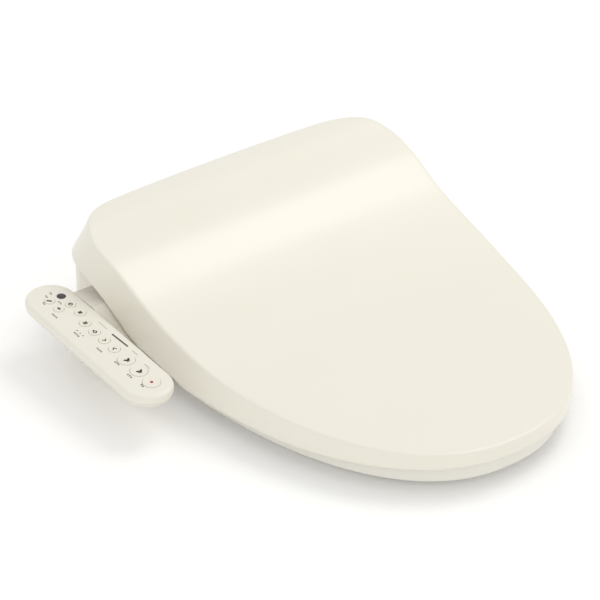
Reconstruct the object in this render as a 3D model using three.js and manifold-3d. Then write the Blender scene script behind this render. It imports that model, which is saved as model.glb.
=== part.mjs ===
// Electric bidet seat: a mounting plate, a slide-on main unit, a heated seat and a lid on one hinge line,
// an extending spray nozzle, and a control panel carried on an arm at the left-hand side.
//
// Millimetres. +Z up, the front of the seat towards -Y, the control panel on the -X side.
// The origin is on the bowl's rim plane, midway between the two mounting bolts.

import * as THREE from 'three';
import { mergeVertices } from 'three/addons/utils/BufferGeometryUtils.js';
import Module from 'manifold-3d';

const wasm = await Module();
wasm.setup();

const DEG = Math.PI / 180;

// ---------------------------------------------------------------------------------------------
// Driving dimensions
// ---------------------------------------------------------------------------------------------

const CLEAR = 0.3; // gap between fixed pieces that lie against each other
const RUN = 1.2; // running gap beside hinged pieces

const LID = {
  crest: 132, // highest line across the lid
  frontTop: 48, // top of the lid at its front tip
  rearReach: 58, // rear edge of the top, behind the bolts
  frontReach: 462, // front tip, ahead of the bolts
  rearHalfWidth: 200.9,
  taper: 2.9, // narrowing of each side from the rear to the tapered front
  midPlace: 102.9, // where the tapered front begins, ahead of the bolts
  cornerRadius: 71.2,
  rearBow: 8.6,
  squareness: 2.264, // exponent of the front's super-ellipse
  wall: 3,
  crown: 3,
  edgeRadius: 3.2,
  skirtLow: 25, // lower edge along the sides
  rearFlare: 18, // outward lean of the wall at the rear corners
  frontFlare: 0.6,
  bumperRadius: 7,
};

const HINGE = {
  y: 28,
  belowCrest: 32,
  pinRadius: 5,
  bearingGap: 0.35,
  hornBoss: 17,
  lugBoss: 13,
  unitBoss: 24,
  lidOpen: 108, // degrees
  sweepGap: 1.8, // between the unit and the lid's wall as it swings down behind
  humpEnd: -124, // degrees about the axis, where the hump's boss runs into the trough
};
LID.midHalfWidth = LID.rearHalfWidth - LID.taper;
HINGE.z = LID.crest - HINGE.belowCrest;

const UNIT = {
  sideGap: 6, // between the lid's side and the unit's tower, at the lid's widest
  frontFace: -112,
  underSkirt: 2, // inside the lid's lower edge at the rear
  wall: 2.5,
  frontCorner: 14,
  skirtBottom: 2,
  floorBottom: 7,
  splitHeight: 30,
  underLid: 4.5, // air between the hump and the lid
  wingFront: 17, // height of the wings at the front face
  belowAxis: 13, // rear rim of the unit, below the hinge line
  towerWall: 5,
  towerFront: -72,
};
UNIT.halfWidth = LID.rearHalfWidth - UNIT.sideGap;
UNIT.humpHalf = LID.rearHalfWidth - LID.cornerRadius;
UNIT.rearFace = LID.rearReach + LID.rearFlare - UNIT.underSkirt;
UNIT.rim = HINGE.z - UNIT.belowAxis;

const SEAT = {
  frontInset: 10.5, // inside the lid's outline at the tip
  sideInset: 13,
  rearFace: -118,
  bottom: 8.7,
  underLid: 4, // air between the seat and the lid at the front
  wall: 3,
  basePlate: 2.4,
  openingRear: -145,
  openingFrontBand: 63,
  openingHalfWidth: 105,
  openingSquareness: 2.2,
  dish: 6, // fall of the seat's top towards the opening
  rearCorner: 16,
  archLift: 17.3, // rise of the rear band over the nozzle
  archFlat: 20,
  archFade: 70,
  hornWidth: 28,
  bumperRadius: 9,
};
SEAT.top = LID.frontTop - LID.wall - SEAT.underLid;
SEAT.openingFront = -(LID.frontReach - SEAT.frontInset) + SEAT.openingFrontBand;

const LUG = { width: 5.5 };

const PLATE = {
  boltSpacing: 140,
  slotWidth: 14,
  slotLength: 34,
  halfWidth: 86,
  halfDepth: 29,
  height: 6,
  flange: 8,
  flangeUnderside: 3.2,
  bushingWall: 2,
  web: 28, // between the two lightening windows
  window: 46, // outer edge of each window from the middle
};

const PANEL = {
  reach: 49.1, // panel centre outboard of the lid's rear half width
  centreY: -86.4,
  topAtCentre: 66.2,
  tilt: 3.65, // degrees, front end lower
  halfWidth: 27.4,
  halfLength: 115,
  edge: 3.4,
  coverDepth: 9,
  wall: 2.2,
  tuck: 7,
  tailEnd: 64, // rear end of the deep housing, behind the centre
  housingDepth: 18.5,
  bigButton: 9.4, // radii
  smallButton: 6.2,
  faintButton: 5.6,
  lens: 4.8,
  proud: 0.7,
  buttonGap: 0.35,
  rim: 1.1,
};

const NOZZLE = {
  slope: 32, // degrees below the horizontal
  exitHeight: 20, // of the nozzle's axis at the unit's front face
  radius: 6.5,
  length: 112,
  tipLength: 14,
  slideGap: 0.45,
  module: 1,
  pinionTeeth: 14,
  toothHalf: 0.58,
  rackHalf: 2.5,
};

const FILTER = { length: 40, height: 22, y: -50, z: 12.5, depth: 38 };

const FAN = { x: 92, y: -66, radius: 27, wall: 2.2, bottom: 14, height: 22, bladeCount: 11 };

// ---------------------------------------------------------------------------------------------
// Materials
// ---------------------------------------------------------------------------------------------

function material(color, roughness, metalness) {
  return new THREE.MeshStandardMaterial({ color, roughness, metalness });
}

const IVORY = material('#efebde', 0.32, 0);
const IVORY_SEAT = material('#e9e6da', 0.38, 0);
const BUTTON = material('#e6e1d2', 0.4, 0);
const GREY_PLASTIC = material('#8d9094', 0.5, 0);
const DARK_PLASTIC = material('#34363a', 0.5, 0);
const LENS = material('#1a1212', 0.12, 0);
const RUBBER = material('#5b5c5e', 0.85, 0);
const SILICONE = material('#c9c8c2', 0.8, 0);
const STEEL = material('#b9bcc0', 0.3, 1);
const BRASS = material('#c0a35e', 0.35, 1);
const BOARD = material('#1f5a36', 0.6, 0);
const CARBON = material('#202124', 0.95, 0);
const FOIL = material('#b8b2a6', 0.45, 1);

// ---------------------------------------------------------------------------------------------
// Solid helpers
// ---------------------------------------------------------------------------------------------

// A closed three.js geometry as a solid that can be joined and cut.
function solid(geometry) {
  const bare = geometry.clone();
  bare.deleteAttribute('normal');
  bare.deleteAttribute('uv');
  const merged = mergeVertices(bare, 1e-4);
  const vertProperties = Float32Array.from(merged.attributes.position.array);
  const triVerts = Uint32Array.from(merged.index.array);
  return new wasm.Manifold(new wasm.Mesh({ numProp: 3, vertProperties, triVerts }));
}

function toGeometry(body) {
  const mesh = body.getMesh();
  const geometry = new THREE.BufferGeometry();
  geometry.setAttribute('position', new THREE.BufferAttribute(mesh.vertProperties, 3));
  geometry.setIndex(new THREE.BufferAttribute(mesh.triVerts, 1));
  geometry.computeVertexNormals();
  return geometry;
}

function join(...bodies) {
  return bodies.reduce((whole, body) => whole.add(body));
}

function cut(body, ...tools) {
  return tools.reduce((rest, tool) => rest.subtract(tool), body);
}

function block(x0, x1, y0, y1, z0, z1) {
  const geometry = new THREE.BoxGeometry(x1 - x0, y1 - y0, z1 - z0);
  geometry.translate((x0 + x1) / 2, (y0 + y1) / 2, (z0 + z1) / 2);
  return solid(geometry);
}

// A cylinder along +X, +Y or +Z, from a start point.
function rod(axis, radius, length, start, sides = 24) {
  const geometry = new THREE.CylinderGeometry(radius, radius, length, sides);
  geometry.translate(0, length / 2, 0);
  if (axis === 'x') geometry.rotateZ(-Math.PI / 2);
  if (axis === 'z') geometry.rotateX(Math.PI / 2);
  geometry.translate(...start);
  return solid(geometry);
}

// A plan outline of [x, y] points, standing from z0 to z1.
function prism(outline, z0, z1) {
  const shape = new THREE.Shape(outline.map(([x, y]) => new THREE.Vector2(x, y)));
  const geometry = new THREE.ExtrudeGeometry(shape, { depth: z1 - z0, bevelEnabled: false });
  geometry.translate(0, 0, z0);
  return solid(geometry);
}

const TO_SIDE = new THREE.Matrix4().makeBasis(
  new THREE.Vector3(0, 1, 0),
  new THREE.Vector3(0, 0, 1),
  new THREE.Vector3(1, 0, 0),
);

// A side profile of [y, z] points, running from x0 to x1.
function slab(profile, x0, x1) {
  const shape = new THREE.Shape(profile.map(([y, z]) => new THREE.Vector2(y, z)));
  const geometry = new THREE.ExtrudeGeometry(shape, { depth: x1 - x0, bevelEnabled: false });
  geometry.applyMatrix4(TO_SIDE);
  geometry.translate(x0, 0, 0);
  return solid(geometry);
}

function mirrored(body) {
  return body.mirror([1, 0, 0]);
}

function arc(cx, cy, radius, from, to, steps) {
  const points = [];
  for (let i = 0; i <= steps; i += 1) {
    const angle = (from + ((to - from) * i) / steps) * DEG;
    points.push([cx + radius * Math.cos(angle), cy + radius * Math.sin(angle)]);
  }
  return points;
}

function stadium(halfWidth, y0, y1, steps = 8) {
  return [
    ...arc(0, y0 + halfWidth, halfWidth, 180, 360, steps),
    ...arc(0, y1 - halfWidth, halfWidth, 0, 180, steps),
  ];
}

function roundedBox(x0, x1, y0, y1, radius, steps = 5) {
  return [
    ...arc(x1 - radius, y0 + radius, radius, -90, 0, steps),
    ...arc(x1 - radius, y1 - radius, radius, 0, 90, steps),
    ...arc(x0 + radius, y1 - radius, radius, 90, 180, steps),
    ...arc(x0 + radius, y0 + radius, radius, 180, 270, steps),
  ];
}

// A skin through rings of [x, y, z] points, each counter-clockwise seen from above.
// The rings run up the outside and inward over the top; a ring of one point closes an end.
function loft(rings, closed) {
  const positions = rings.flat(2);
  const starts = [];
  let total = 0;
  for (const ring of rings) {
    starts.push(total);
    total += ring.length;
  }
  const index = [];
  const bands = closed ? rings.length : rings.length - 1;
  for (let k = 0; k < bands; k += 1) {
    const next = (k + 1) % rings.length;
    const lower = rings[k].length;
    const upper = rings[next].length;
    const count = Math.max(lower, upper);
    for (let i = 0; i < count; i += 1) {
      const a = starts[k] + (i % lower);
      const b = starts[k] + ((i + 1) % lower);
      const c = starts[next] + ((i + 1) % upper);
      const d = starts[next] + (i % upper);
      if (lower > 1) index.push(a, b, c);
      if (upper > 1) index.push(a, c, d);
    }
  }
  const geometry = new THREE.BufferGeometry();
  geometry.setAttribute('position', new THREE.Float32BufferAttribute(positions, 3));
  geometry.setIndex(index);
  return solid(geometry);
}

function clamp01(value) {
  return Math.min(1, Math.max(0, value));
}

function smoothstep(value) {
  const t = clamp01(value);
  return t * t * (3 - 2 * t);
}

// A smooth height through [place, value] knots that never overshoots between them.
function profileCurve(knots) {
  const places = knots.map((knot) => knot[0]);
  const values = knots.map((knot) => knot[1]);
  const slopes = places.slice(1).map((place, i) => (values[i + 1] - values[i]) / (place - places[i]));
  const tangents = places.map((place, i) => {
    if (i === 0) return slopes[0];
    if (i === slopes.length) return slopes[i - 1];
    const product = slopes[i - 1] * slopes[i];
    return product > 0 ? (2 * product) / (slopes[i - 1] + slopes[i]) : 0;
  });
  return (place) => {
    let i = 0;
    while (i < slopes.length - 1 && place > places[i + 1]) i += 1;
    const width = places[i + 1] - places[i];
    const t = clamp01((place - places[i]) / width);
    const hermite = (2 * t - 3) * t * t + 1;
    const first = tangents[i] * width * t * (1 - t) * (1 - t);
    const second = tangents[i + 1] * width * t * t * (t - 1);
    return values[i] * hermite + values[i + 1] * (1 - hermite) + first + second;
  };
}

// ---------------------------------------------------------------------------------------------
// Scene
// ---------------------------------------------------------------------------------------------

const bidetSeat = new THREE.Group();

function add(name, body, look, parent = bidetSeat) {
  const mesh = new THREE.Mesh(toGeometry(body), look);
  mesh.name = name;
  parent.add(mesh);
  return mesh;
}

// ---------------------------------------------------------------------------------------------
// Lid
// ---------------------------------------------------------------------------------------------

// Share of the rise from the front tip to the crest; places are shares of the reach each way.
const lidRise = profileCurve(
  [
    [-1.006, 0],
    [-0.736, 0.049],
    [-0.498, 0.14],
    [-0.325, 0.32],
    [-0.195, 0.523],
    [-0.087, 0.773],
    [0, 0.912],
    [0.517, 1],
    [1.034, 0.944],
  ].map(([share, rise]) => [share * (share < 0 ? LID.frontReach : LID.rearReach), rise]),
);

function lidTop(y) {
  return LID.frontTop + (LID.crest - LID.frontTop) * lidRise(y);
}

const SKIRT_REAR = HINGE.z - 8;
const skirtRise = profileCurve([
  [-LID.frontReach, 0.11],
  [-400, 0.07],
  [-300, 0.01],
  [-165, 0],
  [-141, 0.055],
  [-103, 0.14],
  [-80, 0.22],
  [-53, 0.48],
  [-30, 0.75],
  [0, 0.95],
  [LID.rearReach, 1],
]);

function lidSkirt(y) {
  return LID.skirtLow + (SKIRT_REAR - LID.skirtLow) * skirtRise(y);
}

function lidFlare(y) {
  const share = clamp01((y + 150) / (150 + HINGE.y));
  return LID.frontFlare + (LID.rearFlare - LID.frontFlare) * share * share;
}

const LID_CORNER_Y = LID.rearReach - LID.rearBow / 2 - LID.cornerRadius;

// Half of the lid's plan, from the middle of the rear edge round to the front tip.
function lidHalfPlan() {
  const flat = LID.rearHalfWidth - LID.cornerRadius;
  const cornerY = LID_CORNER_Y;
  const points = [];
  for (let i = 0; i < 3; i += 1) {
    const x = (flat * i) / 3;
    points.push([x, LID.rearReach - LID.rearBow * (x / LID.rearHalfWidth) ** 2]);
  }
  points.push(...arc(flat, cornerY, LID.cornerRadius, 90, 0, 6));
  for (let i = 1; i <= 3; i += 1) {
    const share = i / 3;
    const narrowing = (LID.rearHalfWidth - LID.midHalfWidth) * smoothstep(share);
    points.push([LID.rearHalfWidth - narrowing, cornerY + (-LID.midPlace - cornerY) * share]);
  }
  points.push(...taperedFront(LID.midHalfWidth, LID.midPlace, LID.frontReach, 1, 14));
  return points;
}

// The super-elliptical front, from the widest place to the tip.
function taperedFront(halfWidth, place, reach, first, steps) {
  const points = [];
  for (let i = first; i <= steps; i += 1) {
    const angle = ((i / steps) * Math.PI) / 2;
    const x = halfWidth * Math.max(0, Math.cos(angle)) ** (2 / LID.squareness);
    const y = -place - (reach - place) * Math.sin(angle) ** (2 / LID.squareness);
    points.push([i === steps ? 0 : x, y]);
  }
  return points;
}

// Both halves, counter-clockwise from the middle of the rear edge.
function wholePlan(half) {
  const left = half.map(([x, y]) => [-x, y]);
  const right = half.slice(1, -1).reverse();
  return [...left, ...right];
}

function outwardNormals(plan) {
  return plan.map((point, i) => {
    const before = plan[(i + plan.length - 1) % plan.length];
    const after = plan[(i + 1) % plan.length];
    const along = new THREE.Vector2(after[0] - before[0], after[1] - before[1]).normalize();
    return [along.y, -along.x];
  });
}

const LID_PLAN = wholePlan(lidHalfPlan());
const LID_NORMALS = outwardNormals(LID_PLAN);
const LID_CENTRE = [0, -200 * (LID.frontReach / 462)];

function lidRing(offset, height) {
  return LID_PLAN.map(([x, y], i) => {
    const out = offset(y);
    return [x + LID_NORMALS[i][0] * out, y + LID_NORMALS[i][1] * out, height(y)];
  });
}

function lidTopRing(scale, drop) {
  return LID_PLAN.map(([x, y]) => {
    const px = LID_CENTRE[0] + (x - LID_CENTRE[0]) * scale;
    const py = LID_CENTRE[1] + (y - LID_CENTRE[1]) * scale;
    return [px, py, lidTop(py) + LID.crown * (1 - scale * scale) - drop];
  });
}

const TOP_SCALES = [0.94, 0.81, 0.67, 0.52, 0.36, 0.18];

function lidApex(drop) {
  return [[...LID_CENTRE, lidTop(LID_CENTRE[1]) + LID.crown - drop]];
}

function lidOutside() {
  const mid = (y) => (lidSkirt(y) + lidTop(y)) / 2;
  return [
    lidRing(lidFlare, lidSkirt),
    lidRing((y) => lidFlare(y) * 0.55, mid),
    lidRing(() => 0, (y) => lidTop(y) - LID.edgeRadius),
    lidRing(() => -LID.edgeRadius * 0.3, (y) => lidTop(y) - LID.edgeRadius * 0.3),
    lidRing(() => -LID.edgeRadius, lidTop),
    ...TOP_SCALES.map((scale) => lidTopRing(scale, 0)),
    lidApex(0),
  ];
}

function lidInside() {
  const mid = (y) => (lidSkirt(y) + lidTop(y)) / 2;
  const wall = LID.wall;
  return [
    lidApex(wall),
    ...TOP_SCALES.map((scale) => lidTopRing(scale, wall)).reverse(),
    lidRing(() => -LID.edgeRadius - wall * 0.6, (y) => lidTop(y) - wall),
    lidRing(() => -wall, (y) => lidTop(y) - LID.edgeRadius - wall * 0.6),
    lidRing((y) => lidFlare(y) * 0.55 - wall, mid),
    lidRing((y) => lidFlare(y) - wall, lidSkirt),
  ];
}

const lidFilled = loft([[[...LID_CENTRE, LID.skirtLow]], ...lidOutside()], false);
const lidCore = lidFilled.translate([0, -LID.wall / 2, -LID.wall / 2]);

// Across the hinge line, outward from the middle: hump, horn, lug, then the unit's tower.
const humpHalf = UNIT.humpHalf;
const hornInner = humpHalf + RUN * 2;
const hornOuter = hornInner + SEAT.hornWidth;
const lugInner = hornOuter + RUN;
const lugOuter = lugInner + LUG.width;
const towerInner = UNIT.halfWidth - UNIT.towerWall;

function lidLug() {
  const reach = HINGE.lugBoss;
  const profile = [
    ...arc(HINGE.y, HINGE.z, reach, 180, 360, 12),
    [HINGE.y + reach * 0.7, LID.crest],
    [HINGE.y - reach - 8, LID.crest],
  ];
  return slab(profile, lugInner, lugOuter).intersect(lidCore);
}

function pinBore(radius) {
  const end = lugOuter + 1;
  return rod('x', radius, 2 * end, [-end, HINGE.y, HINGE.z], 20);
}

const lug = lidLug();
const lidShell = loft([...lidInside(), ...lidOutside()], false);
const lid = cut(join(lidShell, lug, mirrored(lug)), pinBore(HINGE.pinRadius + HINGE.bearingGap));
add('lid_shell', lid, IVORY);

// ---------------------------------------------------------------------------------------------
// Seat
// ---------------------------------------------------------------------------------------------

const RING_CENTRE = [0, (SEAT.openingRear + SEAT.openingFront) / 2];
const RING_STEPS = 48;

function seatOuterPlan() {
  const halfWidth = LID.midHalfWidth - SEAT.sideInset;
  const front = taperedFront(halfWidth, LID.midPlace, LID.frontReach - SEAT.frontInset, 1, 40);
  const side = front.filter(([, y]) => y < SEAT.rearFace - SEAT.rearCorner);
  const corner = arc(
    halfWidth - SEAT.rearCorner - 0.6,
    SEAT.rearFace - SEAT.rearCorner,
    SEAT.rearCorner,
    90,
    0,
    6,
  );
  return wholePlan([[0, SEAT.rearFace], ...corner, ...side]);
}

function seatOpeningPlan() {
  const halfLength = (SEAT.openingRear - SEAT.openingFront) / 2;
  const power = 2 / SEAT.openingSquareness;
  const half = [];
  for (let i = 0; i <= 40; i += 1) {
    const angle = (i / 40) * Math.PI;
    const c = Math.cos(angle);
    const x = i === 40 ? 0 : SEAT.openingHalfWidth * Math.sin(angle) ** power;
    half.push([x, RING_CENTRE[1] + Math.sign(c) * halfLength * Math.abs(c) ** power]);
  }
  return wholePlan(half);
}

// Where a ray from the ring's centre leaves a plan.
function rayHit(plan, angle) {
  const dx = Math.cos(angle);
  const dy = Math.sin(angle);
  for (let i = 0; i < plan.length; i += 1) {
    const ax = plan[i][0] - RING_CENTRE[0];
    const ay = plan[i][1] - RING_CENTRE[1];
    const next = plan[(i + 1) % plan.length];
    const ex = next[0] - plan[i][0];
    const ey = next[1] - plan[i][1];
    const det = ex * dy - ey * dx;
    const along = (ay * dx - ax * dy) / det;
    const distance = (ay * ex - ax * ey) / det;
    if (det !== 0 && along >= -1e-9 && along <= 1 + 1e-9 && distance > 0) return distance;
  }
  throw new Error('the plan does not surround the ring centre');
}

const RING_ANGLES = Array.from({ length: RING_STEPS }, (_, i) => {
  return Math.PI / 2 + (i * 2 * Math.PI) / RING_STEPS;
});
const OUTER_RADII = RING_ANGLES.map((angle) => rayHit(seatOuterPlan(), angle));
const OPENING_RADII = RING_ANGLES.map((angle) => rayHit(seatOpeningPlan(), angle));

// Rise of the seat's underside where the nozzle passes below the rear band.
function archRise(x, y) {
  const across = 1 - smoothstep((Math.abs(x) - SEAT.archFlat) / SEAT.archFade);
  const along = smoothstep((y - SEAT.openingRear + 22) / 18);
  return SEAT.archLift * across * along;
}

// A ring set in from the outer edge (or out from the opening), at a height that may follow the arch.
function seatRing(side, inset, height, arched) {
  return RING_ANGLES.map((angle, i) => {
    const width = OUTER_RADII[i] - OPENING_RADII[i];
    const step = Math.min(inset, width * 0.42);
    const radius = side === 'outer' ? OUTER_RADII[i] - step : OPENING_RADII[i] + step;
    const x = RING_CENTRE[0] + radius * Math.cos(angle);
    const y = RING_CENTRE[1] + radius * Math.sin(angle);
    return [x, y, height + (arched ? archRise(x, y) : 0)];
  });
}

const seatInnerTop = SEAT.top - SEAT.dish;

function seatTopShell() {
  const wall = SEAT.wall;
  return loft(
    [
      seatRing('outer', 0, SEAT.bottom, true),
      seatRing('outer', 0, SEAT.top - 11, false),
      seatRing('outer', 4, SEAT.top - 3, false),
      seatRing('outer', 14, SEAT.top, false),
      seatRing('opening', 22, SEAT.top - SEAT.dish * 0.4, false),
      seatRing('opening', 6, seatInnerTop, false),
      seatRing('opening', 0, seatInnerTop - 6, false),
      seatRing('opening', 0, SEAT.bottom, true),
      seatRing('opening', wall, SEAT.bottom, true),
      seatRing('opening', wall, seatInnerTop - 6.3, false),
      seatRing('opening', 8, seatInnerTop - wall, false),
      seatRing('outer', 14, SEAT.top - wall - 0.6, false),
      seatRing('outer', 5.5, SEAT.top - 3 - wall, false),
      seatRing('outer', wall, SEAT.top - 12.5, false),
      seatRing('outer', wall, SEAT.bottom, true),
    ],
    true,
  );
}

// The horn that carries the seat up to the hinge line.
function hornProfile() {
  const boss = HINGE.hornBoss;
  return [
    [SEAT.rearFace - 34, SEAT.top - 10],
    [SEAT.rearFace - 34, SEAT.bottom + 12],
    [SEAT.rearFace - 4, SEAT.bottom + 12],
    [-92, 35],
    ...arc(HINGE.y, HINGE.z, boss, 245, 360, 10),
    ...arc(HINGE.y, HINGE.z, boss, 12, 110, 8),
    [-4, HINGE.z + 8],
    [-50, 78],
    [-92, 55],
    [SEAT.rearFace - 2, SEAT.top + 2],
    [SEAT.rearFace - 16, SEAT.top - 1],
  ];
}

const horn = slab(hornProfile(), hornInner, hornOuter);
const seatTop = cut(
  join(seatTopShell(), horn, mirrored(horn)),
  pinBore(HINGE.pinRadius + HINGE.bearingGap),
);
add('seat_top_shell', seatTop, IVORY_SEAT);

function seatBottomShell() {
  const edge = SEAT.wall + CLEAR;
  const upper = SEAT.bottom + SEAT.basePlate;
  return loft(
    [
      seatRing('outer', edge, SEAT.bottom, true),
      seatRing('outer', edge, upper, true),
      seatRing('opening', edge, upper, true),
      seatRing('opening', edge, SEAT.bottom, true),
    ],
    true,
  );
}

function heaterFoil() {
  const lower = SEAT.top - SEAT.wall - 3.2;
  const inner = lower - SEAT.dish * 0.6;
  return loft(
    [
      seatRing('outer', 16, lower, false),
      seatRing('outer', 16, lower + 1, false),
      seatRing('opening', 24, inner + 1, false),
      seatRing('opening', 24, inner, false),
    ],
    true,
  );
}

const hornSocket = join(
  block(hornInner - CLEAR, hornOuter + CLEAR, SEAT.rearFace - 34 - CLEAR, 0, 0, SEAT.top),
  block(-hornOuter - CLEAR, -hornInner + CLEAR, SEAT.rearFace - 34 - CLEAR, 0, 0, SEAT.top),
);
add('seat_bottom_shell', seatBottomShell(), IVORY_SEAT);
add('seat_heater', cut(heaterFoil(), hornSocket), FOIL);

// Places as shares of the lid's half width and of its reach.
const BUMPER_SPOTS = [
  ['front_left', -0.4545, -0.8095],
  ['front_right', 0.4545, -0.8095],
  ['rear_left', -0.7172, -0.4113],
  ['rear_right', 0.7172, -0.4113],
];
for (const [place, x, y] of BUMPER_SPOTS) {
  const sx = x * LID.midHalfWidth;
  const sy = y * LID.frontReach;
  const foot = rod('z', SEAT.bumperRadius, SEAT.bottom - CLEAR, [sx, sy, 0], 20);
  add(`seat_bumper_${place}`, foot, RUBBER);
}

for (const [place, side] of [['left', -1], ['right', 1]]) {
  const x = side * 0.596 * LID.midHalfWidth;
  const y = -0.7143 * LID.frontReach;
  const base = SEAT.top + 0.5;
  const ceiling = lidTop(y) - LID.wall - 0.6;
  add(`lid_bumper_${place}`, rod('z', LID.bumperRadius, ceiling - base, [x, y, base], 18), RUBBER);
}

// ---------------------------------------------------------------------------------------------
// Main unit: casings
// ---------------------------------------------------------------------------------------------

// The unit's rear keeps inside the lid's lower edge.
const REAR_ARC = { x: LID.rearHalfWidth - LID.cornerRadius, y: LID_CORNER_Y };
REAR_ARC.radius = LID.cornerRadius + LID.rearFlare - UNIT.underSkirt;

function unitRearY(x) {
  return REAR_ARC.y + REAR_ARC.radius + (LID.rearBow / 2) * (1 - (x / REAR_ARC.x) ** 2);
}

// The unit's plan, set in by a distance.
function unitPlan(inset) {
  const half = UNIT.halfWidth - inset;
  const small = UNIT.frontCorner - inset;
  const radius = REAR_ARC.radius - inset;
  const meet = Math.acos((half - REAR_ARC.x) / radius) / DEG;
  const right = [
    ...arc(half - small, UNIT.frontFace + inset + small, small, -90, 0, 5),
    [half, REAR_ARC.y + radius * Math.sin(meet * DEG) - 8],
    ...arc(REAR_ARC.x, REAR_ARC.y, radius, meet + 5, 90, 7),
    [REAR_ARC.x / 2, unitRearY(REAR_ARC.x / 2) - inset],
  ];
  const left = right.map(([x, y]) => [-x, y]).reverse();
  return [...right, [0, UNIT.rearFace - inset], ...left];
}

// Where the lid's outer wall is, as points [x, radius about the hinge line, angle when fully open].
function sweptPoints() {
  const wall = lidOutside().slice(0, 5).flatMap((ring) => ring.flatMap((point, i) => {
    const next = ring[(i + 1) % ring.length];
    const between = (share) => point.map((value, k) => value + (next[k] - value) * share);
    return [0, 0.25, 0.5, 0.75].map(between);
  }));
  return wall
    .filter(([, y]) => y > HINGE.y - 15)
    .map(([x, y, z]) => {
      const radius = Math.hypot(y - HINGE.y, z - HINGE.z);
      return [Math.abs(x), radius, Math.atan2(z - HINGE.z, y - HINGE.y) / DEG - HINGE.lidOpen];
    });
}

// The trough behind and below the hinge line that the lid's rear wall swings down into.
function troughTool(inset) {
  const points = sweptPoints().filter(([, , openAngle]) => openAngle < -30);
  const shares = [0, 0.35, 0.6, 0.72, 0.79, 0.85, 0.9, 0.94, 0.97, 1];
  const profile = shares.map((share) => {
    const station = share * UNIT.halfWidth;
    const near = points.filter(([x]) => Math.abs(x - station) < 9);
    const radius = Math.max(HINGE.lugBoss, ...near.map((point) => point[1]));
    return new THREE.Vector2(radius + HINGE.sweepGap + inset, station);
  });
  const last = profile[profile.length - 1];
  const side = [...profile, new THREE.Vector2(last.x, UNIT.halfWidth + 20)];
  const other = side.slice(1).reverse().map(({ x, y }) => new THREE.Vector2(x, -y));
  const ends = UNIT.halfWidth + 20;
  const outline = [new THREE.Vector2(0, -ends), ...other, ...side, new THREE.Vector2(0, ends)];
  const geometry = new THREE.LatheGeometry(outline, 24);
  geometry.rotateZ(-Math.PI / 2);
  geometry.translate(0, HINGE.y, HINGE.z);
  return solid(geometry);
}

function sector(fromAngle, toAngle, halfWidth) {
  const reach = 3 * HINGE.unitBoss;
  const profile = [[HINGE.y, HINGE.z], ...arc(HINGE.y, HINGE.z, reach, fromAngle, toAngle, 12)];
  return slab(profile, -halfWidth, halfWidth);
}

function wingProfile(inset) {
  const floor = UNIT.floorBottom + inset;
  return [
    [UNIT.frontFace + inset, floor],
    [UNIT.rearFace - inset, floor],
    [UNIT.rearFace - inset, UNIT.rim - inset],
    [HINGE.y, UNIT.rim - inset],
    [HINGE.y - 4, UNIT.rim - inset - 4],
    [UNIT.frontFace + inset, UNIT.wingFront - inset],
  ];
}

function humpTop(y) {
  return Math.min(lidTop(y) - LID.wall - UNIT.underLid, HINGE.z + HINGE.unitBoss);
}

function crestPoints(front, rear, inset, steps) {
  const points = [];
  for (let i = 0; i <= steps; i += 1) {
    const y = rear + ((front - rear) * i) / steps;
    points.push([y, humpTop(y) - inset]);
  }
  return points;
}

function humpProfile(inset) {
  const floor = UNIT.floorBottom + inset;
  const front = UNIT.frontFace + inset;
  return [
    [front, floor],
    [HINGE.y, floor],
    ...arc(HINGE.y, HINGE.z, HINGE.unitBoss - inset, HINGE.humpEnd, 90, 12),
    ...crestPoints(front, HINGE.y - 8, inset, 7),
  ];
}

function towerProfile() {
  return [
    [UNIT.towerFront, UNIT.floorBottom + 4],
    [UNIT.rearFace, UNIT.floorBottom + 4],
    [UNIT.rearFace, UNIT.rim],
    [HINGE.y - 28, UNIT.rim],
    [HINGE.y - 36, HINGE.z - 9],
    [HINGE.y - 60, HINGE.z - 16],
    [HINGE.y - 80, UNIT.rim - 22],
    [UNIT.towerFront, UNIT.wingFront + 20],
  ];
}

const planPrism = prism(unitPlan(0), 0, 2 * LID.crest);
const innerPrism = prism(unitPlan(UNIT.wall), 0, 2 * LID.crest);

function towerSlab(side) {
  const inner = side > 0 ? towerInner : -UNIT.halfWidth - 1;
  const outer = side > 0 ? UNIT.halfWidth + 1 : -towerInner;
  return slab(towerProfile(), inner, outer);
}

// Wings and towers with the trough cut out of them, and the hump standing in front of the trough.
function unitSolid(inset, plan) {
  const wings = slab(wingProfile(inset), -UNIT.halfWidth - 1, UNIT.halfWidth + 1);
  const base = inset > 0 ? wings.intersect(block(-towerInner, towerInner, -300, 300, 0, 300)) : wings;
  const sides = inset > 0 ? base : join(base, towerSlab(1), towerSlab(-1));
  const hump = slab(humpProfile(inset), -humpHalf + inset, humpHalf - inset);
  const back = inset / HINGE.unitBoss / DEG;
  const trough = troughTool(inset).intersect(sector(-160 - back, 60, UNIT.halfWidth + 10));
  const front = sector(HINGE.humpEnd - back, 95, humpHalf + 1);
  const end = humpHalf - inset;
  const boss = rod('x', HINGE.unitBoss - inset, 2 * end, [-end, HINGE.y, HINGE.z], 24);
  const humpCut = cut(troughTool(inset).intersect(front), boss);
  return join(cut(sides, trough), cut(hump, humpCut)).intersect(plan);
}

const unitOutside = unitSolid(0, planPrism);
const unitInside = unitSolid(UNIT.wall, innerPrism);

function pinBoss(side) {
  const length = 14;
  const start = side > 0 ? humpHalf - length : -humpHalf;
  return rod('x', HINGE.pinRadius + 5, length, [start, HINGE.y, HINGE.z], 20);
}

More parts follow.
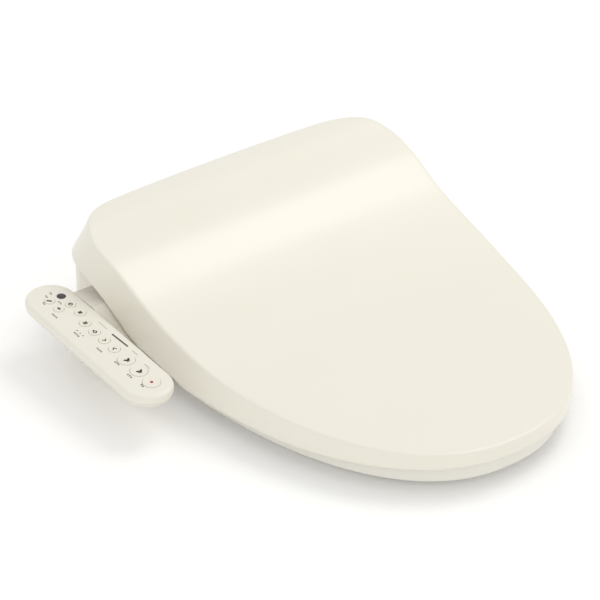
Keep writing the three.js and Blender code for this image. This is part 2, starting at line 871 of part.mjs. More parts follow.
// Nozzle frame: local -Y runs down along the nozzle, local origin where tip and tube meet.
const slopeCos = Math.cos(NOZZLE.slope * DEG);
const slopeSin = Math.sin(NOZZLE.slope * DEG);
const nozzleGroup = new THREE.Group();
const nozzleBack = NOZZLE.tipLength + 6;
nozzleGroup.position.set(
  0,
  UNIT.frontFace + nozzleBack * slopeCos,
  NOZZLE.exitHeight + nozzleBack * slopeSin,
);
nozzleGroup.rotation.x = NOZZLE.slope * DEG;
nozzleGroup.updateMatrix();
bidetSeat.add(nozzleGroup);

const mouthHalf = NOZZLE.radius + 7;
const mouthRise = NOZZLE.radius / slopeCos + 2;
const mouth = block(
  -mouthHalf,
  mouthHalf,
  UNIT.frontFace - 5,
  UNIT.frontFace + 8,
  NOZZLE.exitHeight - mouthRise,
  NOZZLE.exitHeight + mouthRise + 3,
);

const filterBay = block(
  UNIT.halfWidth - FILTER.depth - 8,
  UNIT.halfWidth + 5,
  FILTER.y - CLEAR,
  FILTER.y + FILTER.length + CLEAR,
  FILTER.z - CLEAR,
  FILTER.z + FILTER.height + CLEAR,
);

const RELEASE = { y: 20, z: 21, radius: 7, depth: 16, proud: 1.2 };
const releaseBore = rod(
  'x',
  RELEASE.radius + 0.4,
  40,
  [UNIT.halfWidth - 20, RELEASE.y, RELEASE.z],
  20,
);

const PORT = { z: 20, inlet: -118, drain: -86, gland: 118, depth: 17 };
const portCuts = [
  rod('y', 11.3, 30, [PORT.inlet, unitRearY(PORT.inlet) - PORT.depth - 4, PORT.z], 20),
  rod('y', 8.3, 30, [PORT.drain, unitRearY(PORT.drain) - 10, PORT.z], 20),
  rod('y', 6.3, 30, [PORT.gland, unitRearY(PORT.gland) - 10, PORT.z], 20),
];

const unitShell = cut(
  join(cut(unitOutside, unitInside), pinBoss(1), pinBoss(-1)),
  pinBore(HINGE.pinRadius + CLEAR),
  mouth,
  filterBay,
  releaseBore,
  ...portCuts,
);

const everything = 3 * LID.frontReach;
const belowSplit = block(-everything, everything, -everything, everything, -10, UNIT.splitHeight);
const aboveSplit = block(
  -everything,
  everything,
  -everything,
  everything,
  UNIT.splitHeight + CLEAR,
  everything,
);

// The skirt round the floor, and the rails that hold the unit down on the mounting plate.
function skirtWall() {
  const outer = prism(unitPlan(0), UNIT.skirtBottom, UNIT.floorBottom + 1);
  const inner = prism(unitPlan(UNIT.wall), UNIT.skirtBottom - 1, UNIT.floorBottom + 2);
  return cut(outer, inner);
}

const railGap = 0.5;
function guideRail(side) {
  const wallInner = PLATE.halfWidth + railGap;
  const lipInner = PLATE.halfWidth - PLATE.flange + railGap;
  const rail = join(
    block(wallInner, wallInner + 3, -PLATE.halfDepth, PLATE.halfDepth, 1, UNIT.floorBottom + 1),
    block(
      lipInner,
      wallInner + 1,
      -PLATE.halfDepth,
      PLATE.halfDepth,
      1,
      PLATE.flangeUnderside - railGap,
    ),
  );
  return side > 0 ? rail : mirrored(rail);
}

function screwBoss(x, y) {
  return rod('z', 5, UNIT.splitHeight - UNIT.floorBottom - 1, [x, y, UNIT.floorBottom + 1], 16);
}

const SCREW = { x: UNIT.halfWidth - 24, y: 4, radius: 1.8, headRadius: 3.4, headDepth: 3 };
const screwLength = UNIT.splitHeight - UNIT.floorBottom - 6;
const lowerParts = [skirtWall(), guideRail(1), guideRail(-1)];
const screwHoles = [];
for (const side of [-1, 1]) {
  lowerParts.push(screwBoss(side * SCREW.x, SCREW.y));
  const [x, y, z] = [side * SCREW.x, SCREW.y, UNIT.floorBottom];
  screwHoles.push(
    rod('z', SCREW.radius + CLEAR, screwLength + 1, [x, y, z], 14),
    rod('z', SCREW.headRadius + CLEAR, SCREW.headDepth + 2.3, [x, y, z - 2], 14),
  );
}
const lowerCase = cut(join(unitShell.intersect(belowSplit), ...lowerParts), ...screwHoles);
add('lower_case', lowerCase, IVORY);
add('upper_case', unitShell.intersect(aboveSplit), IVORY);

for (const [place, side] of [['left', -1], ['right', 1]]) {
  const at = [side * SCREW.x, SCREW.y, UNIT.floorBottom + CLEAR];
  const head = rod('z', SCREW.headRadius, SCREW.headDepth - 0.6, at, 14);
  const shank = rod('z', SCREW.radius, screwLength - 1, at, 12);
  add(`case_screw_${place}`, join(head, shank), STEEL);
}


// ---------------------------------------------------------------------------------------------
// Main unit: hinge pins, soft-close dampers, pads and ports
// ---------------------------------------------------------------------------------------------

const pinInner = humpHalf - 14;
const pinFlange = { radius: HINGE.pinRadius + 3, width: RUN };

function hingePin(side) {
  const shaft = rod('x', HINGE.pinRadius, lugOuter - pinInner, [pinInner, HINGE.y, HINGE.z], 20);
  const start = humpHalf + (hornInner - humpHalf - pinFlange.width) / 2;
  const flange = rod('x', pinFlange.radius, pinFlange.width, [start, HINGE.y, HINGE.z], 20);
  const pin = join(shaft, flange);
  return side > 0 ? pin : mirrored(pin);
}

const DAMPER = { radius: 12, length: 36, lug: 3 };

function damper(side) {
  const start = pinInner - CLEAR - DAMPER.length;
  const body = rod('x', DAMPER.radius, DAMPER.length, [start, HINGE.y, HINGE.z], 24);
  const foot = block(
    start + 4,
    start + DAMPER.length - 4,
    HINGE.y - DAMPER.lug,
    HINGE.y + DAMPER.lug,
    HINGE.z - DAMPER.radius - 3,
    HINGE.z - DAMPER.radius + 2,
  );
  const whole = join(body, foot);
  return side > 0 ? whole : mirrored(whole);
}

for (const [place, side] of [['left', -1], ['right', 1]]) {
  add(`hinge_pin_${place}`, hingePin(side), STEEL);
}
add('seat_damper', damper(-1), DARK_PLASTIC);
add('lid_damper', damper(1), DARK_PLASTIC);

const PAD = { x: 140, width: 34, front: -70, rear: 8 };
for (const [place, side] of [['left', -1], ['right', 1]]) {
  const outline = roundedBox(
    side * PAD.x - PAD.width / 2,
    side * PAD.x + PAD.width / 2,
    PAD.front,
    PAD.rear,
    5,
  );
  add(`base_pad_${place}`, prism(outline, 0, UNIT.floorBottom - CLEAR), RUBBER);
}

function waterInlet() {
  const start = unitRearY(PORT.inlet) - PORT.depth;
  const nipple = rod('y', 10.4, PORT.depth - 1, [PORT.inlet, start, PORT.z], 24);
  const tail = rod('y', 6, 12, [PORT.inlet, start - 11, PORT.z], 16);
  const bore = rod('y', 4, 60, [PORT.inlet, start - 20, PORT.z], 14);
  return cut(join(nipple, tail), bore);
}

function drainPlug() {
  const face = unitRearY(PORT.drain);
  const head = rod('y', 7.8, 5, [PORT.drain, face - 5.5, PORT.z], 20);
  const stem = rod('y', 4.5, 12, [PORT.drain, face - 17, PORT.z], 14);
  const slot = block(PORT.drain - 5, PORT.drain + 5, face - 2, face + 1, PORT.z - 0.9, PORT.z + 0.9);
  return cut(join(head, stem), slot);
}

// The strain relief that the mains lead leaves through.
function cordGland() {
  const face = unitRearY(PORT.gland);
  const collar = rod('y', 5.9, 12, [PORT.gland, face - 10, PORT.z], 20);
  const bore = rod('y', 3.2, 30, [PORT.gland, face - 16, PORT.z], 14);
  return cut(collar, bore);
}

add('water_inlet', waterInlet(), BRASS);
add('drain_plug', drainPlug(), GREY_PLASTIC);
add('cord_gland', cordGland(), DARK_PLASTIC);

function nozzleBezel() {
  const y = UNIT.frontFace - CLEAR;
  const rim = 3.5;
  const low = NOZZLE.exitHeight - mouthRise;
  const high = NOZZLE.exitHeight + mouthRise + 3;
  const plate = block(-mouthHalf - rim, mouthHalf + rim, y - 2, y, low - 1.5, high + rim);
  const opening = block(-mouthHalf + 2, mouthHalf - 2, y - 5, y + 5, low, high - 1.5);
  return cut(plate, opening);
}
add('nozzle_bezel', nozzleBezel(), IVORY);

// ---------------------------------------------------------------------------------------------
// Mounting plate
// ---------------------------------------------------------------------------------------------

function slotOutline(width, length) {
  return stadium(width / 2, -length / 2, length / 2, 8);
}

function mountingPlate() {
  const core = block(
    -PLATE.halfWidth + PLATE.flange,
    PLATE.halfWidth - PLATE.flange,
    -PLATE.halfDepth,
    PLATE.halfDepth,
    0,
    PLATE.height,
  );
  const flanges = block(
    -PLATE.halfWidth,
    PLATE.halfWidth,
    -PLATE.halfDepth,
    PLATE.halfDepth,
    PLATE.flangeUnderside,
    PLATE.height,
  );
  const holes = [-1, 1].map((side) => {
    const slot = prism(slotOutline(PLATE.slotWidth, PLATE.slotLength), -1, PLATE.height + 1);
    return slot.translate([(side * PLATE.boltSpacing) / 2, 0, 0]);
  });
  const windows = [-1, 1].map((side) => {
    const window = block(PLATE.web / 2, PLATE.window, -16, 16, -1, PLATE.height + 1);
    return side > 0 ? window : window.mirror([1, 0, 0]);
  });
  return cut(join(core, flanges), ...holes, ...windows);
}

function slotBushing(side) {
  const outer = slotOutline(PLATE.slotWidth - 2 * CLEAR, PLATE.slotLength - 2 * CLEAR);
  const innerWidth = PLATE.slotWidth - 2 * (PLATE.bushingWall + CLEAR);
  const innerLength = PLATE.slotLength - 2 * (PLATE.bushingWall + CLEAR);
  const sleeve = prism(outer, 0, PLATE.height);
  const bore = prism(slotOutline(innerWidth, innerLength), -1, PLATE.height + 1);
  return cut(sleeve, bore).translate([(side * PLATE.boltSpacing) / 2, 0, 0]);
}

add('mounting_plate', mountingPlate(), GREY_PLASTIC);
add('slot_bushing_left', slotBushing(-1), RUBBER);
add('slot_bushing_right', slotBushing(1), RUBBER);

// ---------------------------------------------------------------------------------------------
// Nozzle and its drive
// ---------------------------------------------------------------------------------------------

const pitch = Math.PI * NOZZLE.module;
const pinionRadius = (NOZZLE.module * NOZZLE.pinionTeeth) / 2;
const rackPitchX = NOZZLE.radius + 2.6;
const pinionPlace = [rackPitchX + pinionRadius, 12];
const toothRise = 0.75 * NOZZLE.module;

// A rack of trapezoidal teeth along +Y, its teeth towards +X.
function rackOutline(from, to) {
  const points = [];
  const flank = toothRise * Math.tan(20 * DEG);
  const first = Math.ceil((from - pinionPlace[1]) / pitch) + 1;
  const last = Math.floor((to - pinionPlace[1]) / pitch) - 1;
  for (let i = first; i <= last; i += 1) {
    const y = pinionPlace[1] + i * pitch;
    points.push([rackPitchX - toothRise - 0.3, y - NOZZLE.toothHalf - flank]);
    points.push([rackPitchX + toothRise, y - NOZZLE.toothHalf + flank]);
    points.push([rackPitchX + toothRise, y + NOZZLE.toothHalf - flank]);
    points.push([rackPitchX - toothRise - 0.3, y + NOZZLE.toothHalf + flank]);
  }
  const root = rackPitchX - toothRise - 0.3;
  return [[NOZZLE.radius - 2.5, from], [root, from], ...points, [root, to], [NOZZLE.radius - 2.5, to]];
}

function nozzleTube() {
  const tube = rod('y', NOZZLE.radius, NOZZLE.length, [0, CLEAR, 0], 24);
  const rack = prism(rackOutline(4, NOZZLE.length), -NOZZLE.rackHalf, NOZZLE.rackHalf);
  const bore = rod('y', 2, NOZZLE.length + 20, [0, -10, 0], 12);
  return cut(join(tube, rack), bore);
}

// The replaceable tip, with its two rows of spray holes in the upper face.
function nozzleTip() {
  const length = NOZZLE.tipLength;
  const body = rod('y', NOZZLE.radius - 0.2, length - 3, [0, 3 - length, 0], 24);
  const nose = rod('y', NOZZLE.radius - 2.2, 4, [0, -length, 0], 24);
  const spout = [-3.4, -7.6].map((y) => rod('z', 0.9, 6, [0, y, 2], 10));
  const flat = block(-3, 3, 1.5 - length, -1.5, NOZZLE.radius - 1.4, NOZZLE.radius + 2);
  return cut(join(body, nose), flat, ...spout);
}

// The pinion has a gap between two teeth facing the rack.
function pinionOutline() {
  const points = [];
  const half = NOZZLE.toothHalf;
  const flank = toothRise * Math.tan(20 * DEG);
  const steps = [
    [pinionRadius - toothRise - 0.3, -half - flank * 0.6],
    [pinionRadius, -half],
    [pinionRadius + toothRise, -half + flank * 1.5],
    [pinionRadius + toothRise, half - flank * 1.5],
    [pinionRadius, half],
    [pinionRadius - toothRise - 0.3, half + flank * 0.6],
  ];
  for (let i = 0; i < NOZZLE.pinionTeeth; i += 1) {
    const middle = ((i + 0.5) * 2 * Math.PI) / NOZZLE.pinionTeeth + Math.PI;
    for (const [radius, along] of steps) {
      const angle = middle + along / radius;
      points.push([radius * Math.cos(angle), radius * Math.sin(angle)]);
    }
  }
  return points;
}

function drivePinion() {
  const half = NOZZLE.rackHalf;
  const gear = prism(pinionOutline(), -half, half);
  const bore = rod('z', 1.9, 20, [0, 0, -10], 14);
  return cut(gear, bore);
}

const MOTOR = { radius: 10, height: 18, shaft: 1.5 };
const guide = { x: NOZZLE.radius + 4.5, z: NOZZLE.radius + 3.5, front: 2, rear: 96 };

function nozzleHousing() {
  const body = block(-guide.x, guide.x, guide.front, guide.rear, -guide.z, guide.z);
  const bore = rod('y', NOZZLE.radius + NOZZLE.slideGap, 200, [0, -50, 0], 24);
  const rackHalf = NOZZLE.rackHalf + 0.7;
  const rackSlot = block(0, guide.x + 5, guide.front - 5, guide.rear + 5, -rackHalf, rackHalf);
  const [px, py] = pinionPlace;
  const pocket = rod('z', pinionRadius + 2, 2 * rackHalf, [px, py, -rackHalf], 28);
  const roof = block(guide.x - 3, px + MOTOR.radius, py - 9, py + 9, guide.z - 3, guide.z);
  const shaftHole = rod('z', MOTOR.shaft + 0.5, 20, [px, py, 0], 14);
  const feet = [guide.front + 8, guide.rear - 16].map((y) => (
    block(-4, 4, y, y + 8, -guide.z - 3, -guide.z + 1)
  ));
  return cut(join(body, roof, ...feet), bore, rackSlot, pocket, shaftHole);
}

function nozzleMotor() {
  const [px, py] = pinionPlace;
  const can = rod('z', MOTOR.radius, MOTOR.height, [px, py, guide.z + CLEAR], 24);
  const shaft = rod('z', MOTOR.shaft, guide.z + 4, [px, py, -1.5], 12);
  return join(can, shaft);
}

add('nozzle_tube', nozzleTube(), GREY_PLASTIC, nozzleGroup);
add('nozzle_tip', nozzleTip(), STEEL, nozzleGroup);
add('nozzle_housing', nozzleHousing(), DARK_PLASTIC, nozzleGroup);
add('nozzle_motor', nozzleMotor(), STEEL, nozzleGroup);
const pinion = add('drive_pinion', drivePinion(), SILICONE, nozzleGroup);
pinion.position.set(pinionPlace[0], pinionPlace[1], 0);

// ---------------------------------------------------------------------------------------------
// Water heating, air and control inside the unit
// ---------------------------------------------------------------------------------------------

const inside = UNIT.floorBottom + UNIT.wall;
const TANK = { front: UNIT.frontFace + 12, rear: -12, innerX: -36, wall: 2.5, neck: 15 };
TANK.outerX = -humpHalf + UNIT.wall + 4;
TANK.top = humpTop(TANK.front) - UNIT.wall - 8;

function hotWaterTank() {
  const base = inside + 2;
  const outer = prism(roundedBox(TANK.outerX, TANK.innerX, TANK.front, TANK.rear, 12), base, TANK.top);
  const inner = prism(
    roundedBox(
      TANK.outerX + TANK.wall,
      TANK.innerX - TANK.wall,
      TANK.front + TANK.wall,
      TANK.rear - TANK.wall,
      12 - TANK.wall,
    ),
    base + TANK.wall,
    TANK.top - TANK.wall,
  );
  const [x, y] = tankMiddle();
  const neck = rod('z', TANK.neck, 10, [x, y, TANK.top - 5], 24);
  return cut(outer, inner, neck);
}

function tankMiddle() {
  return [(TANK.outerX + TANK.innerX) / 2, (TANK.front + TANK.rear) / 2];
}

function tankHeater() {
  const [x, y] = tankMiddle();
  const flange = rod('z', TANK.neck + 5, 3, [x, y, TANK.top + CLEAR], 28);
  const plug = rod('z', TANK.neck - CLEAR, 4, [x, y, TANK.top - 2.5], 24);
  const element = [-6, 6].map((dx) => (
    rod('z', 3, TANK.top - inside - 14, [x + dx, y, inside + 12], 14)
  ));
  return join(flange, plug, ...element);
}

add('hot_water_tank', hotWaterTank(), SILICONE);
add('tank_heater', tankHeater(), STEEL);

function solenoidValve() {
  const x = PORT.inlet;
  const rear = unitRearY(PORT.inlet) - PORT.depth - 12;
  const body = block(x - 10, x + 10, rear - 24, rear, inside + 1.5, PORT.z + 9);
  const coil = rod('z', 8, 16, [x, rear - 12, PORT.z + 8], 16);
  return join(body, coil);
}

function flowPump() {
  const can = rod('x', 14, 34, [40, -12, inside + 16], 24);
  const head = block(70, 88, -24, 0, inside + 2, inside + 30);
  const spigot = rod('z', 3.5, 10, [79, -12, inside + 28], 14);
  return join(can, head, spigot);
}

function mainBoard() {
  const board = block(-70, 102, 24, 60, inside + 2, inside + 3.6);
  const parts = [
    [-64, 30, 16, 14, 12],
    [-44, 40, 22, 12, 9],
    [-12, 30, 12, 24, 6],
    [12, 34, 18, 18, 14],
    [42, 30, 10, 10, 18],
    [62, 32, 26, 16, 10],
    [90, 30, 10, 22, 8],
  ];
  const blocks = parts.map(([x, y, w, d, h]) => block(x, x + w, y, y + d, inside + 3, inside + 3 + h));
  return join(board, ...blocks);
}

add('solenoid_valve', solenoidValve(), DARK_PLASTIC);
add('flow_pump', flowPump(), STEEL);
add('main_board', mainBoard(), BOARD);

function fanHousing() {
  const { x, y, radius, wall, bottom, height } = FAN;
  const outer = rod('z', radius + wall, height, [x, y, bottom], 28);
  const inner = rod('z', radius, height - 2 * wall, [x, y, bottom + wall], 28);
  const inlet = rod('z', radius * 0.5, wall + 4, [x, y, bottom - 2], 20);
  const shaft = rod('z', 3, wall + 4, [x, y, bottom + height - wall - 2], 16);
  const ductEnd = UNIT.halfWidth - FILTER.depth - 12;
  const ductY = y + radius - 12;
  const duct = block(x, ductEnd, ductY, y + radius + wall, bottom, bottom + height);
  const air = block(x, ductEnd + 5, ductY + wall, y + radius, bottom + wall, bottom + height - wall);
  return cut(join(outer, duct), inner, air, inlet, shaft);
}

function fanImpeller() {
  const { x, y, radius, wall, bottom, height, bladeCount } = FAN;
  const low = bottom + wall + 1.5;
  const high = bottom + height - wall - 1.5;
  const disc = rod('z', radius - 2.5, 1.6, [x, y, high - 1.6], 24);
  const hub = rod('z', 6, high - low - 4, [x, y, low + 4], 20);
  const blades = Array.from({ length: bladeCount }, (_, i) => {
    const blade = block(radius * 0.52, radius - 3, -0.8, 0.8, low, high - 1);
    return blade.rotate([0, 0, (i * 360) / bladeCount]).translate([x, y, 0]);
  });
  const bore = rod('z', 2.4, 30, [x, y, low - 5], 14);
  return cut(join(disc, hub, ...blades), bore);
}

function fanMotor() {
  const { x, y, wall, bottom, height } = FAN;
  const top = bottom + height;
  const can = rod('z', 13, 15, [x, y, top + CLEAR], 24);
  const shaft = rod('z', 1.8, wall + 9, [x, y, top - wall - 8], 12);
  return join(can, shaft);
}

add('fan_housing', fanHousing(), DARK_PLASTIC);
add('fan_impeller', fanImpeller(), GREY_PLASTIC);
add('fan_motor', fanMotor(), STEEL);

// ---------------------------------------------------------------------------------------------
// Deodorising filter and release button, at the right-hand side
// ---------------------------------------------------------------------------------------------

function filterFrame() {
  const outer = UNIT.halfWidth + 1.2;
  const body = block(
    outer - FILTER.depth,
    outer,
    FILTER.y,
    FILTER.y + FILTER.length,
    FILTER.z,
    FILTER.z + FILTER.height,
  );
  const well = block(
    outer - FILTER.depth + 2,
    outer - 5,
    FILTER.y + 2,
    FILTER.y + FILTER.length - 2,
    FILTER.z + 2,
    FILTER.z + FILTER.height + 1,
  );
  const vents = Array.from({ length: 5 }, (_, i) => {
    const y = FILTER.y + 6 + i * 6.4;
    const inner = outer - FILTER.depth;
    return block(inner - 2, inner + 4, y, y + 3, FILTER.z + 4, FILTER.z + 18);
  });
  const grip = block(outer - 3, outer + 1, FILTER.y + 12, FILTER.y + 28, FILTER.z + 5, FILTER.z + 11);
  return cut(body, well, grip, ...vents);
}

function filterPad() {
  const outer = UNIT.halfWidth + 1.2;
  return block(
    outer - FILTER.depth + 2 + CLEAR,
    outer - 5 - CLEAR,
    FILTER.y + 2 + CLEAR,
    FILTER.y + FILTER.length - 2 - CLEAR,
    FILTER.z + 2 + CLEAR,
    FILTER.z + FILTER.height - 1,
  );
}

function releaseButton() {
  const end = UNIT.halfWidth + RELEASE.proud;
  const cap = rod('x', RELEASE.radius, RELEASE.depth, [end - RELEASE.depth, RELEASE.y, RELEASE.z], 18);
  const flange = rod(
    'x',
    RELEASE.radius + 1.6,
    2,
    [UNIT.halfWidth - UNIT.towerWall - 2 - CLEAR, RELEASE.y, RELEASE.z],
    12,
  );
  return join(cap, flange);
}

add('filter_frame', filterFrame(), GREY_PLASTIC);
add('filter_pad', filterPad(), CARBON);
add('release_button', releaseButton(), GREY_PLASTIC);

// ---------------------------------------------------------------------------------------------
// Control panel, tilted nose down on its arm at the left-hand side
// ---------------------------------------------------------------------------------------------

const panelGroup = new THREE.Group();
panelGroup.position.set(-LID.rearHalfWidth - PANEL.reach, PANEL.centreY, PANEL.topAtCentre);
panelGroup.rotation.x = PANEL.tilt * DEG;
panelGroup.updateMatrix();
bidetSeat.add(panelGroup);

// name, x and y on the panel, radius
const BUTTONS = [
  ['button_rear_wash', 4, -45, PANEL.bigButton],
  ['button_front_wash', 3.7, -68, PANEL.bigButton],
  ['button_stop', 3.4, -91, PANEL.bigButton],
  ['button_pressure_up', 4.2, -23, PANEL.smallButton],
  ['button_pressure_down', 4.4, -4.6, PANEL.smallButton],
  ['button_water_warm', 4.2, 13, PANEL.smallButton],
  ['button_seat_warm', 4.6, 31, PANEL.smallButton],
  ['button_dryer', 10.6, 49.5, PANEL.smallButton],
  ['button_power', 10.6, 67.4, PANEL.faintButton],
  ['button_energy_save', -4.2, 67.4, PANEL.faintButton],
  ['button_nozzle_clean', -4.2, 84.6, PANEL.faintButton],
];
const LENS_SPOT = [10.8, 85.2];

function panelCover() {
  const { halfWidth, halfLength, edge, coverDepth, wall } = PANEL;
  const core = stadium(halfWidth - edge, -halfLength + edge, halfLength - edge, 9);
  const shape = new THREE.Shape(core.map(([x, y]) => new THREE.Vector2(x, y)));
  const geometry = new THREE.ExtrudeGeometry(shape, {
    depth: coverDepth - edge,
    bevelThickness: edge,
    bevelSize: edge,
    bevelSegments: 2,
    steps: 1,
  });
  geometry.translate(0, 0, -coverDepth);
  const around = prism(stadium(halfWidth + 5, -halfLength - 5, halfLength + 5), -coverDepth, 1);
  const trimmed = solid(geometry).intersect(around);
  const inner = stadium(halfWidth - wall, -halfLength + wall, halfLength - wall);
  const pocket = prism(inner, -coverDepth - 1, -wall);
  const holes = BUTTONS.map(([, x, y, radius]) => rod('z', radius + PANEL.buttonGap, 9, [x, y, -6], 16));
  const lensHole = rod('z', PANEL.lens + CLEAR, 9, [...LENS_SPOT, -6], 20);
  return cut(trimmed, pocket, ...holes, lensHole);
}

function housingOutline(inset) {
  const front = -PANEL.halfLength + PANEL.tuck + inset;
  const half = PANEL.halfWidth - PANEL.tuck - inset;
  return [
    ...arc(0, front + half, half, 180, 360, 10),
    ...arc(half - 8 + inset, PANEL.tailEnd - 8, 8 - inset, 0, 90, 4),
    ...arc(-half + 8 - inset, PANEL.tailEnd - 8, 8 - inset, 90, 180, 4),
  ];
}

const ARM = { front: -80, rear: 2, low: 31, rearTop: 68.5, underLid: 2.5 };

// The arm in the unit's frame, from the unit's side to the inside of the panel's housing.
function armSolid(inset) {
  const top = (y) => Math.min(lidSkirt(y) - ARM.underLid, ARM.rearTop) - inset;
  const crest = [ARM.rear - inset, -12, -22, -30, -36, -42, -48, -54, -62, -70, ARM.front + inset];
  const profile = [
    [ARM.front + inset, ARM.low + inset],
    [ARM.rear - inset, ARM.low + inset],
    ...crest.map((y) => [y, Math.max(top(y), ARM.low + inset + 1)]),
  ];
  const outboard = panelGroup.position.x + PANEL.halfWidth - PANEL.tuck - 1.2;
  const inboard = -UNIT.halfWidth - CLEAR;
  return slab(profile, outboard, inboard + (inset > 0 ? 5 : 0));
}

function toPanel(body) {
  return body.transform([...panelGroup.matrix.clone().invert().elements]);
}

function panelBase() {
  const { halfWidth, halfLength, coverDepth, wall, housingDepth } = PANEL;
  const top = -coverDepth - CLEAR;
  const tray = prism(stadium(halfWidth - 0.6, -halfLength + 0.6, halfLength - 0.6), top - 3.5, top);
  const deep = prism(housingOutline(0), -housingDepth, top - 1);
  const hollow = prism(housingOutline(wall), -housingDepth + wall, top + 1);
  const shallow = prism(stadium(halfWidth - 4, PANEL.tailEnd - 20, halfLength - 4), top - 1.6, top + 1);
  const arm = toPanel(armSolid(0)).subtract(prism(housingOutline(wall), -housingDepth - 60, top + 10));
  const passage = toPanel(armSolid(wall));
  const coverRoom = prism(stadium(halfWidth + CLEAR, -halfLength - CLEAR, halfLength + CLEAR), top, 20);
  return cut(join(tray, deep, arm), hollow, shallow, passage, coverRoom);
}

function controlBoard() {
  const { coverDepth, wall } = PANEL;
  const top = -coverDepth + 1.4 + CLEAR;
  const end = PANEL.halfLength - 5;
  const board = prism(stadium(PANEL.halfWidth - wall - 2, -end, end, 10), top - 1.4, top);
  const chips = [
    [-10, -70, 10, 12, 6],
    [-8, -30, 14, 14, 4],
    [-4, 10, 8, 18, 6],
    [-10, 40, 12, 8, 5],
  ];
  const blocks = chips.map(([x, y, w, d, h]) => block(x, x + w, y, y + d, top - 1 - h, top - 1));
  return join(board, ...blocks);
}

// One soft sheet under all the buttons, raised to a dome under each.
function keypadMat() {
  const base = -PANEL.coverDepth + 1.4 + 2 * CLEAR;
  const end = PANEL.halfLength - 7;
  const sheet = prism(stadium(PANEL.halfWidth - PANEL.wall - 3, -end, end, 10), base, base + 1);
  const domes = BUTTONS.map(([, x, y, radius]) => rod('z', radius * 0.55, 2, [x, y, base + 0.4], 8));
  const lensHole = rod('z', PANEL.lens + 1.4, 9, [...LENS_SPOT, base - 4], 20);
  return cut(join(sheet, ...domes), lensHole);
}

function panelButton(x, y, radius) {
  const flangeTop = -PANEL.wall - CLEAR;
  const flangeBottom = flangeTop - PANEL.rim;
  const cap = rod('z', radius, PANEL.proud - flangeBottom, [x, y, flangeBottom], 16);
  const flange = rod('z', radius + PANEL.rim, PANEL.rim, [x, y, flangeBottom], 12);
  return join(cap, flange);
}

add('panel_cover', panelCover(), IVORY, panelGroup);
add('panel_base', panelBase(), IVORY, panelGroup);
add('control_board', controlBoard(), BOARD, panelGroup);
add('keypad_mat', keypadMat(), SILICONE, panelGroup);
add('sensor_lens', rod('z', PANEL.lens, 5, [...LENS_SPOT, -4.6], 24), LENS, panelGroup);
for (const [name, x, y, radius] of BUTTONS) {
  add(name, panelButton(x, y, radius), BUTTON, panelGroup);
}

export default bidetSeat;
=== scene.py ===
"""Electric bidet seat: shells, printed panel, finishes, lights and camera round the frame."""

import logging
import math
from dataclasses import dataclass, field
from enum import Enum
from typing import Callable, Optional, Sequence

import bmesh
import bpy
from mathutils import Matrix, Vector


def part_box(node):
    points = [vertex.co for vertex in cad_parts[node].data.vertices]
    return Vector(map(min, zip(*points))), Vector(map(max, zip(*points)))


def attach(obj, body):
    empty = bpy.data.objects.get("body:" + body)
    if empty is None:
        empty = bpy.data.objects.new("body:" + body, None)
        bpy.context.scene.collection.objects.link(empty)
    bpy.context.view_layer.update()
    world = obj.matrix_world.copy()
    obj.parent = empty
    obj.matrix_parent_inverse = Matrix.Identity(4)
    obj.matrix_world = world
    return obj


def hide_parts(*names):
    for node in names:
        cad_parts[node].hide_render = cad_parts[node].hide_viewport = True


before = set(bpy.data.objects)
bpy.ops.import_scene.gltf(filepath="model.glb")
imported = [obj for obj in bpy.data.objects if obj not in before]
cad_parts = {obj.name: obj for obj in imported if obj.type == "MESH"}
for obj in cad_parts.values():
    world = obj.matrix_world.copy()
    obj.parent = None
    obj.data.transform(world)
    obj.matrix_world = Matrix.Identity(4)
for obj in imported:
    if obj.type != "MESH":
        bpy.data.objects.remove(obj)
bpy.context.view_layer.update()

log = logging.getLogger("bidet_seat")

MM = 0.001  # the shapes below are worked out in millimetres and finished in metres
MERGE = 1e-4  # points closer than this are one, in mm
COPY_MERGE = 1e-3  # the same for a solid's loose triangles
SMOOTH_PART = 32.0  # edges that turn less are shaded smooth, in degrees
SMOOTH_SHELL = 40.0  # the same on the large moulded shells
SHARP_EDGE = 38.0  # edges of a solid that turn more are broken
BROKEN_EDGE = 0.35  # width of a moulding's broken edge in mm
SIDES = (("left", -1), ("right", 1))

Ring = list[Vector]
Point = tuple[float, float]


# ---- Small mathematics ----


def clamp01(value: float) -> float:
    """Keeps a value between 0 and 1."""
    return min(1.0, max(0.0, value))


def smoothstep(value: float) -> float:
    """Eases a value from 0 to 1."""
    t = clamp01(value)
    return t * t * (3.0 - 2.0 * t)


def height_curve(knots: Sequence[Point]) -> Callable[[float], float]:
    """Draws a smooth line through knots that never overshoots between them.

    Args:
        knots: places with their values, in rising order of place.

    Returns:
        A function from a place to its value.
    """
    places = [knot[0] for knot in knots]
    values = [knot[1] for knot in knots]
    slopes = [
        (values[i + 1] - values[i]) / (places[i + 1] - places[i]) for i in range(len(knots) - 1)
    ]
    tangents = [slopes[0]]
    for before, after in zip(slopes, slopes[1:]):
        product = before * after
        tangents.append(2.0 * product / (before + after) if product > 0.0 else 0.0)
    tangents.append(slopes[-1])

    def curve(place: float) -> float:
        """Reads the line at one place.

        Args:
            place: where it is read.

        Returns:
            The line's value there.
        """
        i = 0
        while i < len(slopes) - 1 and place > places[i + 1]:
            i += 1
        width = places[i + 1] - places[i]
        t = clamp01((place - places[i]) / width)
        fall = (2.0 * t - 3.0) * t * t + 1.0
        first = tangents[i] * width * t * (1.0 - t) * (1.0 - t)
        second = tangents[i + 1] * width * t * t * (t - 1.0)
        return values[i] * fall + values[i + 1] * (1.0 - fall) + first + second

    return curve


